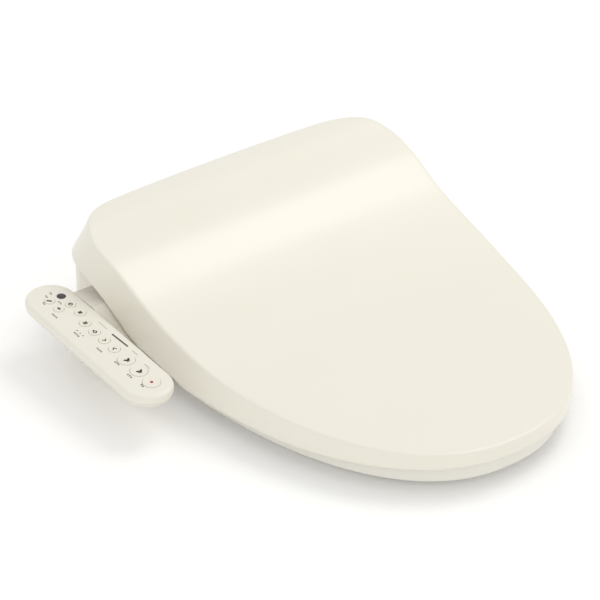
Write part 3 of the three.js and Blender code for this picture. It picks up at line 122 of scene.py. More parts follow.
def arc(centre: Point, radius: float, start: float, end: float, steps: int) -> list[Point]:
    """Lists points along an arc, both ends included.

    Args:
        centre: the arc's centre.
        radius: its radius.
        start: first angle in degrees.
        end: last angle in degrees.
        steps: number of stretches between points.

    Returns:
        The points in order.
    """
    points = []
    for i in range(steps + 1):
        angle = math.radians(start + (end - start) * i / steps)
        points.append((centre[0] + radius * math.cos(angle), centre[1] + radius * math.sin(angle)))
    return points


def whole_plan(half: Sequence[Point]) -> list[Point]:
    """Mirrors half an outline that runs from the rear middle to the front middle.

    Args:
        half: points of the right-hand half, both middles included.

    Returns:
        The whole outline, counter-clockwise seen from above.
    """
    left = [(-x, y) for x, y in half]
    return left + list(reversed(half[1:-1]))


def outward_normals(plan: Sequence[Point]) -> list[Point]:
    """Finds the outward direction at each point of a counter-clockwise outline.

    Args:
        plan: points of a counter-clockwise outline.

    Returns:
        One unit direction for each point.
    """
    normals = []
    for i in range(len(plan)):
        before = plan[i - 1]
        after = plan[(i + 1) % len(plan)]
        along = Vector((after[0] - before[0], after[1] - before[1])).normalized()
        normals.append((along.y, -along.x))
    return normals


# ---- Finishes ----


def linear(hue: str) -> tuple[float, float, float, float]:
    """Turns an sRGB hex colour into linear values.

    Args:
        hue: six hex digits with a leading number sign.

    Returns:
        Red, green, blue and an alpha of 1.
    """
    parts = [int(hue[i : i + 2], 16) / 255.0 for i in (1, 3, 5)]
    bright = [p / 12.92 if p <= 0.04045 else ((p + 0.055) / 1.055) ** 2.4 for p in parts]
    return bright[0], bright[1], bright[2], 1.0


def add_node(
    tree: bpy.types.NodeTree,
    kind: str,
    inputs: Optional[dict] = None,
    **settings: object,
) -> bpy.types.Node:
    """Adds one shader node.

    Args:
        tree: the material's or world's node tree.
        kind: the node's type name.
        inputs: socket names with a value or with another node's output socket.
        **settings: the node's own properties.

    Returns:
        The new node.
    """
    node = tree.nodes.new(kind)
    for name, value in settings.items():
        setattr(node, name, value)
    for name, value in (inputs or {}).items():
        if isinstance(value, bpy.types.NodeSocket):
            tree.links.new(value, node.inputs[name])
        else:
            node.inputs[name].default_value = value
    return node


class Texture(Enum):
    """How the surface was made, which sets the pattern of its bumps."""

    MOULDED = "moulded"
    BRUSHED = "brushed"
    FOAM = "foam"
    BOARD = "board"


@dataclass(frozen=True)
class Finish:
    """One real surface, its colours and its relief.

    Attributes:
        name: common name of the material and its making.
        hue: main sRGB colour.
        second_hue: colour that the main one drifts to.
        drift_mm: width of the patches of colour.
        roughness: middle roughness.
        roughness_spread: how far the roughness wanders either way.
        relief_mm: size of one bump.
        relief_depth_mm: height of the bumps.
        texture: pattern of the bumps.
        metallic: 1 for bare metal.
        ior: index of refraction.
        coat: strength of a clear top layer.
        coat_roughness: roughness of that layer.
        subsurface: share of light that soaks in, as in rubber and thick pale plastic.
    """

    name: str
    hue: str
    second_hue: str
    drift_mm: float
    roughness: float
    roughness_spread: float
    relief_mm: float
    relief_depth_mm: float
    texture: Texture = Texture.MOULDED
    metallic: float = 0.0
    ior: float = 1.5
    coat: float = 0.0
    coat_roughness: float = 0.1
    subsurface: float = 0.0

    def material(self) -> bpy.types.Material:
        """Builds the material, or returns the one that was built before.

        Returns:
            The material, ready to use.
        """
        ready = bpy.data.materials.get(self.name)
        if ready is not None:
            return ready
        made = bpy.data.materials.new(self.name)
        made.use_nodes = True
        tree = made.node_tree
        tree.nodes.clear()
        place = add_node(tree, "ShaderNodeTexCoord").outputs["Object"]
        shader = add_node(
            tree,
            "ShaderNodeBsdfPrincipled",
            {
                "Base Color": self._colour(tree, place),
                "Roughness": self._gloss(tree, place),
                "Normal": self._relief(tree, place),
                "Metallic": self.metallic,
                "Coat Weight": self.coat,
                "Coat Roughness": self.coat_roughness,
                "Subsurface Weight": self.subsurface,
                "Subsurface Scale": 0.003,
            },
        )
        if self.metallic < 0.5:
            shader.inputs["IOR"].default_value = self.ior
        add_node(tree, "ShaderNodeOutputMaterial", {"Surface": shader.outputs["BSDF"]})
        return made

    def _noise(
        self, tree: bpy.types.NodeTree, place: bpy.types.NodeSocket, size_mm: float, detail: float
    ) -> bpy.types.NodeSocket:
        """Adds a noise whose patches are about a given size.

        Args:
            tree: the material's node tree.
            place: the coordinates it reads.
            size_mm: width of a patch.
            detail: how much finer pattern rides on it.

        Returns:
            The noise's value.
        """
        noise = add_node(
            tree,
            "ShaderNodeTexNoise",
            {"Vector": place, "Scale": 1.0 / (size_mm * MM), "Detail": detail, "Roughness": 0.5},
        )
        return noise.outputs["Fac"]

    def _colour(self, tree: bpy.types.NodeTree, place: bpy.types.NodeSocket) -> bpy.types.NodeSocket:
        """Lets the colour drift between the two hues.

        Args:
            tree: the material's node tree.
            place: the coordinates it reads.

        Returns:
            The colour's output socket.
        """
        mix = add_node(tree, "ShaderNodeMix", data_type="RGBA")
        tree.links.new(self._noise(tree, place, self.drift_mm, 2.0), mix.inputs[0])
        mix.inputs[6].default_value = linear(self.hue)
        mix.inputs[7].default_value = linear(self.second_hue)
        return mix.outputs[2]

    def _gloss(self, tree: bpy.types.NodeTree, place: bpy.types.NodeSocket) -> bpy.types.NodeSocket:
        """Lets the roughness wander about its middle value.

        Args:
            tree: the material's node tree.
            place: the coordinates it reads.

        Returns:
            The roughness's output socket.
        """
        spread = add_node(
            tree,
            "ShaderNodeMapRange",
            {
                "Value": self._noise(tree, place, self.drift_mm * 0.4, 3.0),
                "To Min": self.roughness - self.roughness_spread,
                "To Max": self.roughness + self.roughness_spread,
            },
        )
        return spread.outputs["Result"]

    def _relief(self, tree: bpy.types.NodeTree, place: bpy.types.NodeSocket) -> bpy.types.NodeSocket:
        """Raises the surface's small bumps.

        Args:
            tree: the material's node tree.
            place: the coordinates it reads.

        Returns:
            The bumped normal's output socket.
        """
        if self.texture is Texture.BRUSHED:
            drawn = add_node(
                tree, "ShaderNodeMapping", {"Vector": place, "Scale": (0.06, 1.0, 1.0)}
            )
            height = self._noise(tree, drawn.outputs["Vector"], self.relief_mm, 4.0)
        elif self.texture is Texture.FOAM:
            cells = add_node(
                tree,
                "ShaderNodeTexVoronoi",
                {"Vector": place, "Scale": 1.0 / (self.relief_mm * MM)},
            )
            height = cells.outputs["Distance"]
        elif self.texture is Texture.BOARD:
            weave = add_node(
                tree,
                "ShaderNodeTexWave",
                {"Vector": place, "Scale": 0.3 / (self.relief_mm * MM), "Distortion": 1.5},
            )
            height = weave.outputs["Fac"]
        else:
            height = self._noise(tree, place, self.relief_mm, 2.0)
        bump = add_node(
            tree,
            "ShaderNodeBump",
            {"Height": height, "Strength": 1.0, "Distance": self.relief_depth_mm * MM},
        )
        return bump.outputs["Normal"]


# Ivory PP, injection moulded in a polished tool: even gloss with the faint waves that
# shrinkage leaves, 22 mm across, and a warm, slightly uneven body colour.
IVORY = Finish(
    "ivory_polypropylene_gloss_moulded", "#EDE9DC", "#EBE7D9", 90.0, 0.3, 0.02, 22.0, 0.004,
    coat=0.25, coat_roughness=0.2,
)
# The same PP on the seat ring, from a finely eroded tool: a satin that blurs every reflection.
# Its grit is 0.3 mm, drawn at 3 mm so that it shows.
IVORY_SATIN = Finish(
    "ivory_polypropylene_satin_moulded", "#F1EEE5", "#EEEBE1", 70.0, 0.4, 0.03, 3.0, 0.006,
)
# ABS of the casings, spark-eroded: its grit is 0.3 mm, drawn at 2 mm so that it shows.
IVORY_CASE = Finish(
    "ivory_abs_satin_moulded", "#EAE5DA", "#E7E1D5", 60.0, 0.38, 0.03, 2.0, 0.005,
)
# Printed polyester film over the panel: flat satin ivory, its 2.5 mm ripple from the glue.
PANEL_FILM = Finish(
    "ivory_polyester_film_satin", "#ECE9DD", "#EAE6D9", 40.0, 0.34, 0.02, 2.5, 0.003,
)
# Key caps of the same film over rubber domes, a little duller where fingers press.
KEY_FILM = Finish(
    "ivory_key_film_satin", "#EBE7DA", "#E9E5D7", 20.0, 0.38, 0.02, 2.0, 0.003,
)
# Screen-printed ink: matt and slightly uneven, in dark grey, pale grey and red.
INK = Finish("screen_ink_grey", "#45433F", "#4E4C48", 6.0, 0.6, 0.05, 1.0, 0.002)
INK_PALE = Finish("screen_ink_pale_grey", "#A9A69C", "#B3B0A6", 6.0, 0.6, 0.05, 1.0, 0.002)
INK_RED = Finish("screen_ink_red", "#A83A3A", "#9C3333", 6.0, 0.55, 0.05, 1.0, 0.002)
# Infrared window: dark polycarbonate, polished, so it reads as a black gloss dot.
WINDOW = Finish(
    "smoked_polycarbonate_polished", "#2A2422", "#332B28", 8.0, 0.12, 0.02, 5.0, 0.002, coat=0.4,
)
# Grey glass-filled PP: matt, with grains 1.5 mm wide.
GREY = Finish("grey_polypropylene_matt", "#8D9094", "#84878B", 30.0, 0.5, 0.05, 1.5, 0.02)
# Dark ABS of motors and housings.
DARK = Finish("dark_abs_matt", "#34363A", "#3B3D42", 25.0, 0.55, 0.06, 1.5, 0.03)
# Natural PP of the tank: cloudy and slightly translucent.
NATURAL = Finish(
    "natural_polypropylene_moulded", "#D8D4C6", "#CDC9BB", 40.0, 0.45, 0.05, 4.0, 0.03,
    subsurface=0.25,
)
# POM of the pinion: waxy white.
ACETAL = Finish(
    "acetal_white_moulded", "#E8E6DE", "#E0DED6", 10.0, 0.35, 0.04, 1.5, 0.01, subsurface=0.1,
)
# EPDM feet: dull, dusted with talc.
RUBBER = Finish("epdm_rubber_moulded", "#5B5C5E", "#66676A", 12.0, 0.85, 0.06, 1.2, 0.04)
# Silicone keypad: milky, soft.
SILICONE = Finish(
    "silicone_milky_moulded", "#C9C8C2", "#BEBDB7", 14.0, 0.75, 0.05, 1.5, 0.02, subsurface=0.3
)
# Stainless tube and pins, drawn and brushed lengthwise.
STEEL = Finish(
    "stainless_steel_brushed", "#C4C6C8", "#B0B3B6", 20.0, 0.28, 0.07, 0.8, 0.006,
    texture=Texture.BRUSHED, metallic=1.0,
)
# Turned brass of the inlet, slightly tarnished.
BRASS = Finish(
    "brass_turned", "#C7A662", "#A98746", 8.0, 0.32, 0.08, 0.8, 0.008,
    texture=Texture.BRUSHED, metallic=1.0,
)
# Glass-epoxy board under green solder mask; its weave shows through.
BOARD = Finish(
    "solder_mask_green_laminate", "#1F5A36", "#184B2C", 9.0, 0.45, 0.06, 0.8, 0.01,
    texture=Texture.BOARD, coat=0.3,
)
# Activated carbon foam: open cells 1.6 mm wide.
CARBON = Finish(
    "activated_carbon_foam", "#26272A", "#151618", 5.0, 0.95, 0.03, 1.6, 0.6, texture=Texture.FOAM
)
# Aluminium foil heater, laminated and slightly crumpled.
FOIL = Finish(
    "aluminium_foil_laminated", "#C9C5BC", "#B5B0A6", 12.0, 0.35, 0.08, 3.0, 0.08, metallic=1.0
)

# The solids that keep their own shape, by finish and by the record's slot.
KEPT_SOLIDS: tuple[tuple[Finish, str, tuple[str, ...]], ...] = (
    (GREY, "grey_plastic", (
        "mounting_plate", "drain_plug", "nozzle_tube", "fan_impeller", "filter_frame",
        "release_button",
    )),
    (RUBBER, "bumper_rubber", (
        "slot_bushing_left", "slot_bushing_right", "base_pad_left", "base_pad_right",
        "seat_bumper_front_left", "seat_bumper_front_right", "seat_bumper_rear_left",
        "seat_bumper_rear_right", "lid_bumper_left", "lid_bumper_right",
    )),
    (IVORY_CASE, "ivory_casing", ("lower_case", "nozzle_bezel")),
    (STEEL, "steel", (
        "case_screw_left", "case_screw_right", "hinge_pin_left", "hinge_pin_right", "tank_heater",
        "flow_pump", "nozzle_motor", "nozzle_tip", "fan_motor",
    )),
    (DARK, "dark_plastic", (
        "seat_damper", "lid_damper", "cord_gland", "solenoid_valve", "nozzle_housing",
        "fan_housing",
    )),
    (BRASS, "brass", ("water_inlet",)),
    (NATURAL, "tank_plastic", ("hot_water_tank",)),
    (BOARD, "circuit_board", ("main_board", "control_board")),
    (ACETAL, "gear_plastic", ("drive_pinion",)),
    (CARBON, "carbon_foam", ("filter_pad",)),
    (SILICONE, "silicone", ("keypad_mat",)),
    (FOIL, "heater_foil", ("seat_heater",)),
)


# ---- Bench: turning bmeshes into finished pieces ----


def place_stations(
    verts: Sequence[bmesh.types.BMVert], station: bmesh.types.BMLayerItem, ring: Ring
) -> None:
    """Moves each vertex to its own point of an outline."""
    for vert in verts:
        vert.co = ring[vert[station]]


def skin(rings: Sequence[Ring], floor: bool = False, roof: bool = False) -> bmesh.types.BMesh:
    """Extrudes a circle of edges from one outline to the next.

    Args:
        rings: outlines with the same number of points, counter-clockwise seen from above.
        floor: closes the first outline with one face.
        roof: closes the last outline with one face.

    Returns:
        A bmesh in millimetres.
    """
    bm = bmesh.new()
    station = bm.verts.layers.int.new("station")
    verts = bmesh.ops.create_circle(bm, segments=len(rings[0]), radius=1.0)["verts"]
    for i, vert in enumerate(verts):
        vert[station] = i
    place_stations(verts, station, rings[0])
    edges = list(bm.edges)
    if floor:
        bmesh.ops.contextual_create(bm, geom=edges)
    for ring in rings[1:]:
        grown = bmesh.ops.extrude_edge_only(bm, edges=edges)["geom"]
        verts = [item for item in grown if isinstance(item, bmesh.types.BMVert)]
        fresh = set(verts)
        edges = [
            item
            for item in grown
            if isinstance(item, bmesh.types.BMEdge) and set(item.verts) <= fresh
        ]
        place_stations(verts, station, ring)
    if roof:
        bmesh.ops.contextual_create(bm, geom=edges)
    return bm


def lift(plan: Sequence[Point], height: float) -> Ring:
    """Sets a flat outline at a height."""
    return [Vector((x, y, height)) for x, y in plan]


def turned(profile: Sequence[Point], steps: int) -> bmesh.types.BMesh:
    """Spins a profile about the Z axis.

    Args:
        profile: radius and height of each point, from one end of the axis to the other.
        steps: number of faces round.

    Returns:
        A bmesh in millimetres, round the origin.
    """
    bm = bmesh.new()
    verts = [bm.verts.new((radius, 0.0, height)) for radius, height in profile]
    edges = [bm.edges.new(pair) for pair in zip(verts, verts[1:])]
    bmesh.ops.spin(
        bm,
        geom=verts + edges,
        cent=(0.0, 0.0, 0.0),
        axis=(0.0, 0.0, 1.0),
        angle=math.tau,
        steps=steps,
        use_merge=True,
    )
    bmesh.ops.remove_doubles(bm, verts=bm.verts, dist=MERGE)
    return bm


def bar(
    profile: Sequence[Point], start: float, width: float, radius: float = 0.0
) -> bmesh.types.BMesh:
    """Extrudes a side profile across the object and rounds its edges.

    Args:
        profile: place along and height of each corner.
        start: place across where it begins.
        width: how far across it runs, below zero to the left.
        radius: rounding of every sharp edge.

    Returns:
        A bmesh in millimetres.
    """
    bm = bmesh.new()
    face = bm.faces.new([bm.verts.new((start, y, z)) for y, z in profile])
    grown = bmesh.ops.extrude_face_region(bm, geom=[face])["geom"]
    far = [item for item in grown if isinstance(item, bmesh.types.BMVert)]
    bmesh.ops.translate(bm, vec=(width, 0.0, 0.0), verts=far)
    bmesh.ops.recalc_face_normals(bm, faces=bm.faces)
    if radius > 0.0:
        sharp = [edge for edge in bm.edges if edge.calc_face_angle(0.0) > math.radians(40.0)]
        bmesh.ops.bevel(
            bm, geom=sharp, offset=radius, segments=3, profile=0.5, affect="EDGES", material=-1
        )
    return bm


def finish_piece(
    name: str,
    bm: bmesh.types.BMesh,
    finish: Finish,
    body: str,
    smooth_below: float = SMOOTH_PART,
) -> bpy.types.Object:
    """Makes a bmesh into a dressed piece that rides on a body.

    Args:
        name: the piece's name.
        bm: its shape in millimetres; it is freed.
        finish: its surface.
        body: the body that carries it.
        smooth_below: edges that turn less than this many degrees are shaded smooth.

    Returns:
        The new object.
    """
    bmesh.ops.remove_doubles(bm, verts=bm.verts, dist=MERGE)
    bmesh.ops.dissolve_degenerate(bm, dist=MERGE, edges=bm.edges)
    bmesh.ops.recalc_face_normals(bm, faces=bm.faces)
    bmesh.ops.transform(bm, matrix=Matrix.Scale(MM, 4), verts=bm.verts)
    mesh = bpy.data.meshes.new(name)
    bm.to_mesh(mesh)
    bm.free()
    mesh.shade_smooth()
    mesh.set_sharp_from_angle(angle=math.radians(smooth_below))
    mesh.materials.append(finish.material())
    piece = bpy.data.objects.new(name, mesh)
    bpy.context.scene.collection.objects.link(piece)
    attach(piece, body)
    log.info("%s: %d faces", name, len(mesh.polygons))
    return piece


def carve(piece: bpy.types.Object, cutters: Sequence[bmesh.types.BMesh]) -> None:
    """Cuts shapes out of a piece and keeps the result as its mesh.

    Args:
        piece: the piece that is cut.
        cutters: closed bmeshes in millimetres; they are freed.
    """
    tools = bmesh.new()
    for cutter in cutters:
        bmesh.ops.recalc_face_normals(cutter, faces=cutter.faces)
        part = bpy.data.meshes.new("cutter_part")
        cutter.to_mesh(part)
        cutter.free()
        tools.from_mesh(part)
        bpy.data.meshes.remove(part)
    bmesh.ops.transform(tools, matrix=Matrix.Scale(MM, 4), verts=tools.verts)
    mesh = bpy.data.meshes.new("cutters")
    tools.to_mesh(mesh)
    tools.free()
    tool = bpy.data.objects.new("cutters", mesh)
    bpy.context.scene.collection.objects.link(tool)
    cut = piece.modifiers.new("holes", "BOOLEAN")
    cut.operation = "DIFFERENCE"
    cut.solver = "EXACT"
    cut.object = tool
    bpy.context.view_layer.update()
    ready = piece.evaluated_get(bpy.context.evaluated_depsgraph_get())
    result = bpy.data.meshes.new_from_object(ready)
    piece.modifiers.remove(cut)
    piece.data = result
    result.shade_smooth()
    result.set_sharp_from_angle(angle=math.radians(SMOOTH_PART))
    bpy.data.objects.remove(tool)
    bpy.data.meshes.remove(mesh)


def break_edges(piece: bpy.types.Object) -> None:
    """Joins the loose triangles of a piece or solid and breaks its sharp edges softly.

    Args:
        piece: the piece or solid.
    """
    weld = piece.modifiers.new("joined", "WELD")
    weld.merge_threshold = 1e-6
    edges = piece.modifiers.new("edges", "BEVEL")
    edges.width = BROKEN_EDGE * MM
    edges.segments = 2
    edges.limit_method = "ANGLE"
    edges.angle_limit = math.radians(SHARP_EDGE)
    edges.use_clamp_overlap = True
    edges.harden_normals = True


def dress_node(name: str, finish: Finish) -> None:
    """Gives a solid that keeps its own shape its finish and softly broken edges.

    Args:
        name: the solid's node.
        finish: its surface.
    """
    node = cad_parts[name]
    node.data.materials.clear()
    node.data.materials.append(finish.material())
    node.data.shade_smooth()
    break_edges(node)
    log.info("%s keeps its solid", name)


# ---- Lid ----


@dataclass
class Lid:
    """The crowned lid, a thin shell with rolled edges, and its two hinge lugs."""

    crest: float = 132.0
    front_top: float = 48.0
    rear_reach: float = 58.0
    front_reach: float = 462.0
    rear_half_width: float = 200.9
    mid_half_width: float = 198.0
    mid_place: float = 102.9
    corner_radius: float = 71.2
    rear_bow: float = 8.6
    squareness: float = 2.264
    wall: float = 3.0
    crown: float = 3.0
    edge_radius: float = 3.2
    skirt_low: float = 25.0
    rear_flare: float = 18.0
    front_flare: float = 0.6
    hinge_y: float = 28.0
    hinge_z: float = 100.0
    lug_boss: float = 12.4
    lug_inner: float = 161.3
    lug_width: float = 5.5
    rim_radius: float = 1.0
    rim_below_hinge: float = 8.0
    flare_start: float = -150.0
    wall_bow: float = 0.1
    top_middle: float = -200.0
    ring_spacing: float = 1.15
    rise: Callable[[float], float] = field(init=False)
    skirt: Callable[[float], float] = field(init=False)
    plan: list[Point] = field(init=False)
    normals: list[Point] = field(init=False)

    def __post_init__(self) -> None:
        """Draws the curves that the lid is built on."""
        shares = [
            (-1.006, 0.0), (-0.736, 0.049), (-0.498, 0.14), (-0.325, 0.32), (-0.195, 0.523),
            (-0.087, 0.773), (0.0, 0.912), (0.517, 1.0), (1.034, 0.944),
        ]
        self.rise = height_curve(
            [(s * (self.front_reach if s < 0.0 else self.rear_reach), rise) for s, rise in shares]
        )
        self.skirt = height_curve(
            [
                (-self.front_reach, 0.11), (-400.0, 0.07), (-300.0, 0.01), (-165.0, 0.0),
                (-141.0, 0.055), (-103.0, 0.14), (-80.0, 0.22), (-53.0, 0.48), (-30.0, 0.75),
                (0.0, 0.95), (self.rear_reach, 1.0),
            ]
        )
        self.plan = whole_plan(self.half_plan())
        self.normals = outward_normals(self.plan)

    def top(self, y: float) -> float:
        """Height of the lid's top above one place along its length."""
        return self.front_top + (self.crest - self.front_top) * self.rise(y)

    def skirt_height(self, y: float) -> float:
        """Height of the lid's lower edge."""
        highest = self.hinge_z - self.rim_below_hinge
        return self.skirt_low + (highest - self.skirt_low) * self.skirt(y)

    def flare(self, y: float) -> float:
        """How far the lower edge stands out from the top's outline."""
        share = clamp01((y - self.flare_start) / (self.hinge_y - self.flare_start))
        return self.front_flare + (self.rear_flare - self.front_flare) * share * share

    def half_plan(self) -> list[Point]:
        """Draws the right half of the top's outline, from the rear middle to the front tip.

        Returns:
            The points in order.
        """
        flat = self.rear_half_width - self.corner_radius
        corner_y = self.rear_reach - self.rear_bow / 2.0 - self.corner_radius
        points = []
        steps = 9
        for i in range(steps):
            x = flat * i / steps
            points.append((x, self.rear_reach - self.rear_bow * (x / self.rear_half_width) ** 2))
        points += arc((flat, corner_y), self.corner_radius, 90.0, 0.0, 22)
        for i in range(1, steps + 1):
            share = i / steps
            narrowing = (self.rear_half_width - self.mid_half_width) * smoothstep(share)
            y = corner_y + (-self.mid_place - corner_y) * share
            points.append((self.rear_half_width - narrowing, y))
        points += self.front(self.mid_half_width, self.front_reach, 44)
        return points

    def front(self, half_width: float, reach: float, steps: int) -> list[Point]:
        """Draws the tapered front as a quarter of a super-ellipse.

        Args:
            half_width: half the width where it begins.
            reach: distance from the bolts to the tip.
            steps: number of points.

        Returns:
            The points after the widest place, down to the tip.
        """
        points = []
        power = 2.0 / self.squareness
        for i in range(1, steps + 1):
            angle = i / steps * math.pi / 2.0
            x = half_width * max(0.0, math.cos(angle)) ** power
            y = -self.mid_place - (reach - self.mid_place) * math.sin(angle) ** power
            points.append((0.0 if i == steps else x, y))
        return points

    def side_ring(self, offset: Callable[[float], float], height: Callable[[float], float]) -> Ring:
        """Sets the outline out sideways by one rule and up by another.

        Args:
            offset: distance outwards at each place along.
            height: height at each place along.

        Returns:
            The ring's points.
        """
        return [
            Vector((x + nx * offset(y), y + ny * offset(y), height(y)))
            for (x, y), (nx, ny) in zip(self.plan, self.normals)
        ]

    def top_ring(self, scale: float, drop: float) -> Ring:
        """Shrinks the outline towards the middle of the top and lays it on the crowned surface.

        Args:
            scale: share of the outline's size that is left.
            drop: distance under the top.

        Returns:
            The ring's points.
        """
        ring = []
        for (x, y), (nx, ny) in zip(self.plan, self.normals):
            across = (x - nx * self.edge_radius) * scale
            inner_y = y - ny * self.edge_radius
            along = self.top_middle + (inner_y - self.top_middle) * scale
            height = self.top(along) + self.crown * (1.0 - scale * scale) - drop
            ring.append(Vector((across, along, height)))
        return ring

    def wall_ring(self, up: float, inset: float = 0.0) -> Ring:
        """Lists one ring of the side wall, flared at the rim and upright at the shoulder.

        Args:
            up: share of the way from the rim to the shoulder.
            inset: distance in from the outer wall.

        Returns:
            The ring's points.
        """
        lean = (1.0 - up) * (1.0 - self.wall_bow * up)
        return self.side_ring(
            lambda y: self.flare(y) * lean - inset,
            lambda y: (self.skirt_height(y) + self.rim_radius) * (1.0 - up)
            + (self.top(y) - self.edge_radius) * up,
        )

    def outside(self) -> list[Ring]:
        """Lists the outer rings, from the lower rim up and in to the middle of the top.

        Returns:
            The rings in order.
        """
        rings = [
            self.side_ring(lambda y: self.flare(y) - self.rim_radius, self.skirt_height),
            self.side_ring(
                lambda y: self.flare(y) - self.rim_radius * 0.3,
                lambda y: self.skirt_height(y) + self.rim_radius * 0.3,
            ),
        ]
        wall_steps, top_steps = 8, 28
        rings += [self.wall_ring(i / wall_steps) for i in range(wall_steps)]
        for i in range(7):
            angle = math.radians(15.0 * i)
            inward = self.edge_radius * (1.0 - math.cos(angle))
            drop = self.edge_radius * (1.0 - math.sin(angle))
            rings.append(
                self.side_ring(
                    lambda y, inward=inward: -inward, lambda y, drop=drop: self.top(y) - drop
                )
            )
        for i in range(1, top_steps + 1):
            scale = 1.0 - (i / top_steps) ** self.ring_spacing
            rings.append(self.top_ring(max(scale, 0.0), 0.0))
        return rings

    def inside(self) -> list[Ring]:
        """Lists the inner rings, from the middle of the ceiling out and down to the rim.

        Returns:
            The rings in order.
        """
        wall, steps = self.wall, 12
        rings = [
            self.top_ring(1.0 - (i / steps) ** self.ring_spacing, wall)
            for i in range(steps, 0, -1)
        ]
        rings.append(
            self.side_ring(lambda y: -self.edge_radius - wall * 0.8, lambda y: self.top(y) - wall)
        )
        rings.append(
            self.side_ring(
                lambda y: -wall, lambda y: self.top(y) - self.edge_radius - wall * 0.8
            )
        )
        rings += [self.wall_ring(up, wall) for up in (0.66, 0.33, 0.0)]
        rings.append(
            self.side_ring(lambda y: self.flare(y) - wall + self.rim_radius, self.skirt_height)
        )
        return rings

    def lug(self, side: int) -> bmesh.types.BMesh:
        """Builds the lug that hangs from the lid's ceiling to the hinge pin.

        Args:
            side: -1 for the left, 1 for the right.

        Returns:
            A bmesh in millimetres.
        """
        hinge = (self.hinge_y, self.hinge_z)
        profile = arc(hinge, self.lug_boss, 180.0, 360.0, 24)
        ceiling = self.wall - 0.4
        rear = self.hinge_y + self.lug_boss * 0.7
        front = self.hinge_y - self.lug_boss - 8.0
        profile += [(rear, self.top(rear) - ceiling), (front, self.top(front) - ceiling)]
        return bar(profile, side * self.lug_inner, side * self.lug_width, 0.6)

    def build(self) -> None:
        """Makes the lid and its lugs."""
        shell = skin(self.inside() + self.outside())
        piece = finish_piece("lid", shell, IVORY, "lid", SMOOTH_SHELL)
        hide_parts("lid_shell")
        for name, side in SIDES:
            finish_piece(f"lid_lug_{name}", self.lug(side), IVORY, "lid")


# ---- Seat ----


class Edge(Enum):
    """The outline that a ring of the seat is measured from."""

    OUTER = "outer"
    OPENING = "opening"


